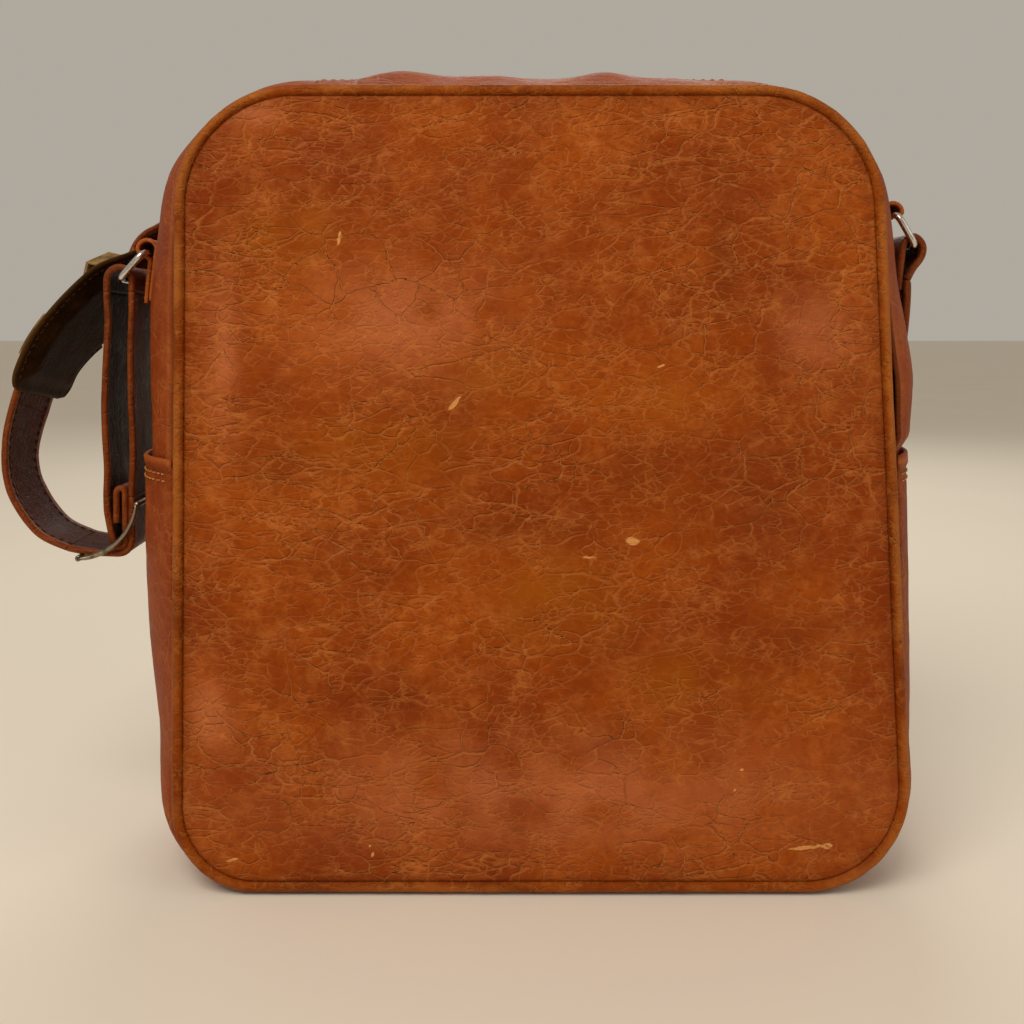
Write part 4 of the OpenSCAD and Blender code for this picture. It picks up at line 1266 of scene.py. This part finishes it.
def strap_at_buckle():
    """The strap's turns round ring and buckle, and the two runs between them."""
    arch = [(INNER_X, RUN_TOP)] + arc(ARCH_C, ARCH_R, 0, 180) + [(OUTER_X, RUN_TOP)]
    strap_skin("strap_arch_leather", flat_rows(arch), "strap_arch", "bag", True, 1)
    low, keep = RUN_LOW + 0.1, 1 - BUCKLE_TRAVEL / (RUN_TOP - RUN_LOW)
    for label, ends, amount, seed in (
            ("inner", [(INNER_X, low), (INNER_X, RUN_TOP)], 0.5, 1),
            ("outer", [(OUTER_X, RUN_TOP), (OUTER_X, low)], 0.9, 2)):
        run = strap_skin(f"strap_{label}_run_leather", wavy(flat_rows(ends), amount, seed),
                         f"strap_{label}_run", "bag", True, seed + 1)
        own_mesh(run)
    turn = [(-200, 130.1), (-194.8, 129), (-187, 128)] + arc(WRAP_C, WRAP_R, -90, 0)
    turn += [(INNER_X, RUN_LOW)]
    strap_skin("strap_turn_leather", flat_rows(turn), "strap_turn", "buckle", True, 4)
    tail_c = (WRAP_C[0] + 0.6, 154)
    fold = [(OUTER_X, RUN_LOW), (OUTER_X + 0.2, 146), (OUTER_X + 1.4, 139.5)]
    fold += arc(WRAP_C, 2.7, 180, 360) + arc(tail_c, 1.9, 0, 180) + [(tail_c[0] - 1.9, 141)]
    strap_skin("strap_end_fold_leather", flat_rows(fold, spacing=0.8), "strap_end_fold",
               "buckle", True, 5)


def strap_end_piece():
    """The strap's right end, folded round its ring."""
    curve = spline([(160.1, 245.1), (162.6, 250), (166.3, 255), (167, 260.3), (163, 264.2),
                    (159.1, 261.3), (157.9, 255), (157, 248), (156.4, 241)], 8)
    strap_skin("strap_end_right_leather", flat_rows(curve, way=-1), "strap_end_right", "bag",
               False, 6)


def strap_along():
    """The three parts of the long route, all riding on the bag."""
    for piece in strap_part("strap_loop_leather", 0, RUN_FIRST, "strap_loop"):
        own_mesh(piece)
    strap_part("strap_pad_run_leather", RUN_FIRST, RUN_LAST, "strap_pad_run")
    strap_part("strap_front_run_leather", RUN_LAST, len(PATH) - 1, "strap_front_run")


# ---------- shoulder pad ----------
PAD_HALF = 30
PAD_T = 5
PAD_BORDER_T = 2.0
PAD_CORNER = 9
PAD_TOP = -STRAP_T / 2 - 0.5


def pad_piece():
    """Padded leather with rounded corners, a thin sewn border and a raw edge."""
    part = slice(PAD_FIRST, PAD_LAST + 1)
    path, width, face = PATH[part], WIDTH_WAY[part], FACE_WAY[part]
    along = lengths_along(path)
    from_end = np.minimum(along, along[-1] - along)
    to_corner = PAD_CORNER - np.minimum(from_end, PAD_CORNER)
    half = PAD_HALF - PAD_CORNER + np.sqrt(np.clip(PAD_CORNER**2 - to_corner**2, 0, None))
    border, middle = np.linspace(0.84, 1, 5), np.linspace(-0.8, 0.8, 25)
    a = np.concatenate([-border[::-1], middle, border])[None, :] * half[:, None]
    rim = np.minimum(half[:, None] - np.abs(a), from_end[:, None])
    swell = smooth((rim - 3.6) / 7)
    thick = PAD_BORDER_T + (PAD_T - PAD_BORDER_T + 0.5) * swell - 0.45 * hill(rim, 3.4, 0.7)
    thick = thick * np.sqrt(np.clip(rim / 1.2, 0.12, 1))
    thick += 0.15 * rough_noise(along[:, None], a, 12, 121) * swell
    spot = path[:, None, :] + a[..., None] * width[:, None, :]
    outer = spot + PAD_TOP * face[:, None, :]
    inner = outer - thick[..., None] * face[:, None, :]
    piece = sheet_piece("shoulder_pad_leather", inner, outer, "pad", "bag", "pad_leather", edge=0.3,
                        marks={"worn": 0.9 * (1 - smooth((rim - 0.3) / 0.9))})
    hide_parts("shoulder_pad")
    inside = from_end > 4
    for k, side in enumerate((-1, 1)):
        line = path + side * (half - 3.4)[:, None] * width - (1.75 - PAD_TOP) * face
        stitch_row(f"shoulder_pad_stitching_{k + 1}", line[inside], -face[inside], "bag",
                   "pad_leather", pitch=3.6, radius=0.26, thread="dim_thread")


def keeper_piece(label, middle, proud, top):
    """A stiff folded loop of suede over the strap."""
    part = slice(middle - FINE, middle + FINE + 1)
    foot, step = PAD_HALF - 3, STRAP_W / 2 + 2.5
    base = 0.3 - STRAP_T / 2
    thick = 1.5
    profile = np.array([(-foot, base), (-step, base), (-top, proud), (0, proud + 0.8), (top, proud),
                        (step, base), (foot, base)])
    rows = section_rows(PATH, ACROSS, np.concatenate([profile + (0, thick), profile[::-1]]))[part]
    worn = np.zeros(rows.shape[:2])
    worn[[0, -1]] = 0.7
    piece = sweep(f"pad_keeper_{label}_suede", rows, ["suede"], "bag", "keeper_leather",
                  marks={"worn": worn}, flat=True)
    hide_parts(f"pad_keeper_{label}")


# ---------- buckle ----------
BUCKLE_C = (-195.7, 152.2)
BUCKLE_R = 26
BUCKLE_HALF = STRAP_W / 2 + 2


def buckle_piece():
    """Two curved flat rails joined by three bars."""
    curve = np.array(arc(BUCKLE_C, BUCKLE_R, -88, -7, 29))
    taper = 1 - 0.35 * np.abs(np.linspace(-1, 1, len(curve)))[:, None] ** 4
    oval = circle_section(1.0, 14)
    section = np.stack([1.5 * oval[:, 0] * np.ones_like(taper), 1.15 * oval[:, 1] * taper], axis=-1)
    tubes = [section_rows(np.insert(curve, 1, y, axis=1), (0, 1, 0), section)
             for y in (-BUCKLE_HALF, BUCKLE_HALF)]
    for x, z in (curve[0], curve[-1], WRAP_C):
        bar = np.array([[x, y, z] for y in np.linspace(-BUCKLE_HALF, BUCKLE_HALF, 12)])
        tubes.append(section_rows(bar, (1, 0, 0), circle_section(1.3, 14)))
    points, faces = join_tubes(tubes)
    piece = make_piece("buckle_frame_metal", points, faces, ["buckle"], "buckle", "buckle_metal")
    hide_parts("buckle_frame")


# ---------- pieces kept from the CAD ----------
KEPT = {"back_piping_cord": "cord", "front_piping_cord": "cord", "back_board": "board",
        "front_board": "board", "base_board": "board", "lining": "lining", "zip_slider": "brass",
        "zip_pull": "brass", "front_pocket_slider": "brass", "front_pocket_pull": "brass"}


def dress(node, look):
    """Gives a CAD node a material in every slot."""
    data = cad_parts[node].data
    if not data.materials:
        data.materials.append(MATERIALS[look])
    for k in range(len(data.materials)):
        data.materials[k] = MATERIALS[look]


# ---------- camera, light and floor ----------
def make_camera():
    """A level camera behind the bag, its lens shifted as the photograph's outline needs."""
    data = bpy.data.cameras.new("camera")
    data.sensor_width = 36
    data.lens = 38.99
    data.shift_x = 0.0557
    data.shift_y = -0.175
    camera = bpy.data.objects.new("camera", data)
    camera.location = (-0.034, -0.494, 0.2225)
    camera.rotation_euler = (math.radians(90), 0, 0)
    bpy.context.collection.objects.link(camera)
    bpy.context.scene.camera = camera


LIGHT_AIM = Vector((0, 0, 0.17))
# Area lights: place, size, power and colour.
LIGHTS = {"key": ((-0.5, -0.95, 1.3), 0.8, 13, (1.0, 0.95, 0.88)),
          "fill": ((1.3, -0.9, 0.7), 1.2, 3.5, (1.0, 0.93, 0.86)),
          "rim": ((0.2, 1.4, 1.2), 1.0, 8, (1.0, 0.96, 0.9))}


def area_light(name, place, size, power, colour):
    data = bpy.data.lights.new(name, "AREA")
    data.size = size
    data.energy = power
    data.color = colour
    light = bpy.data.objects.new(name, data)
    light.location = place
    light.rotation_euler = (LIGHT_AIM - Vector(place)).to_track_quat("-Z", "Y").to_euler()
    bpy.context.collection.objects.link(light)


def make_studio():
    scene = bpy.context.scene
    scene.view_settings.view_transform = "Standard"
    world = bpy.data.worlds.new("studio")
    world.use_nodes = True
    sky = world.node_tree.nodes["Background"]
    sky.inputs["Color"].default_value = srgb(238, 230, 216)
    sky.inputs["Strength"].default_value = 0.5
    scene.world = world
    for name, given in LIGHTS.items():
        area_light(name, *given)
    reach = 30
    floor = bpy.data.meshes.new("floor")
    corners = [(reach * x, reach * y, 0) for x, y in ((-1, -1), (1, -1), (1, 1), (-1, 1))]
    floor.from_pydata(corners, [], [(0, 1, 2, 3)])
    floor.materials.append(floor_material("floor"))
    stage = bpy.data.objects.new("floor", floor)
    stage.location.z = -0.0009
    bpy.context.collection.objects.link(stage)


make_camera()
make_studio()
panel_piece("back_panel_leather", -1, "back_panel", "panel")
panel_piece("front_panel_leather", 1, "front_panel", "front")
piping_piece("back_piping_leather", -1, "back_piping")
piping_piece("front_piping_leather", 1, "front_piping")
gusset_piece("gusset_left_leather", -1, "gusset_left")
gusset_piece("gusset_right_leather", 1, "gusset_right")
pocket_piece("side_pocket_left_leather", -1, "side_pocket_left")
pocket_piece("side_pocket_right_leather", 1, "side_pocket_right")
base_piece()
zip_top()
front_pocket_piece()
front_zip()
for ring_label in RINGS:
    ring_piece(ring_label)
    tab_piece(ring_label)
strap_along()
strap_at_buckle()
strap_end_piece()
pad_piece()
keeper_piece("upper", PAD_LAST - 2 * FINE, 12.5, STRAP_W / 2 - 5)
keeper_piece("lower", PAD_FIRST + 3 * FINE, 1.7, STRAP_W / 2 + 0.5)
buckle_piece()
for kept_node, kept_look in KEPT.items():
    dress(kept_node, kept_look)
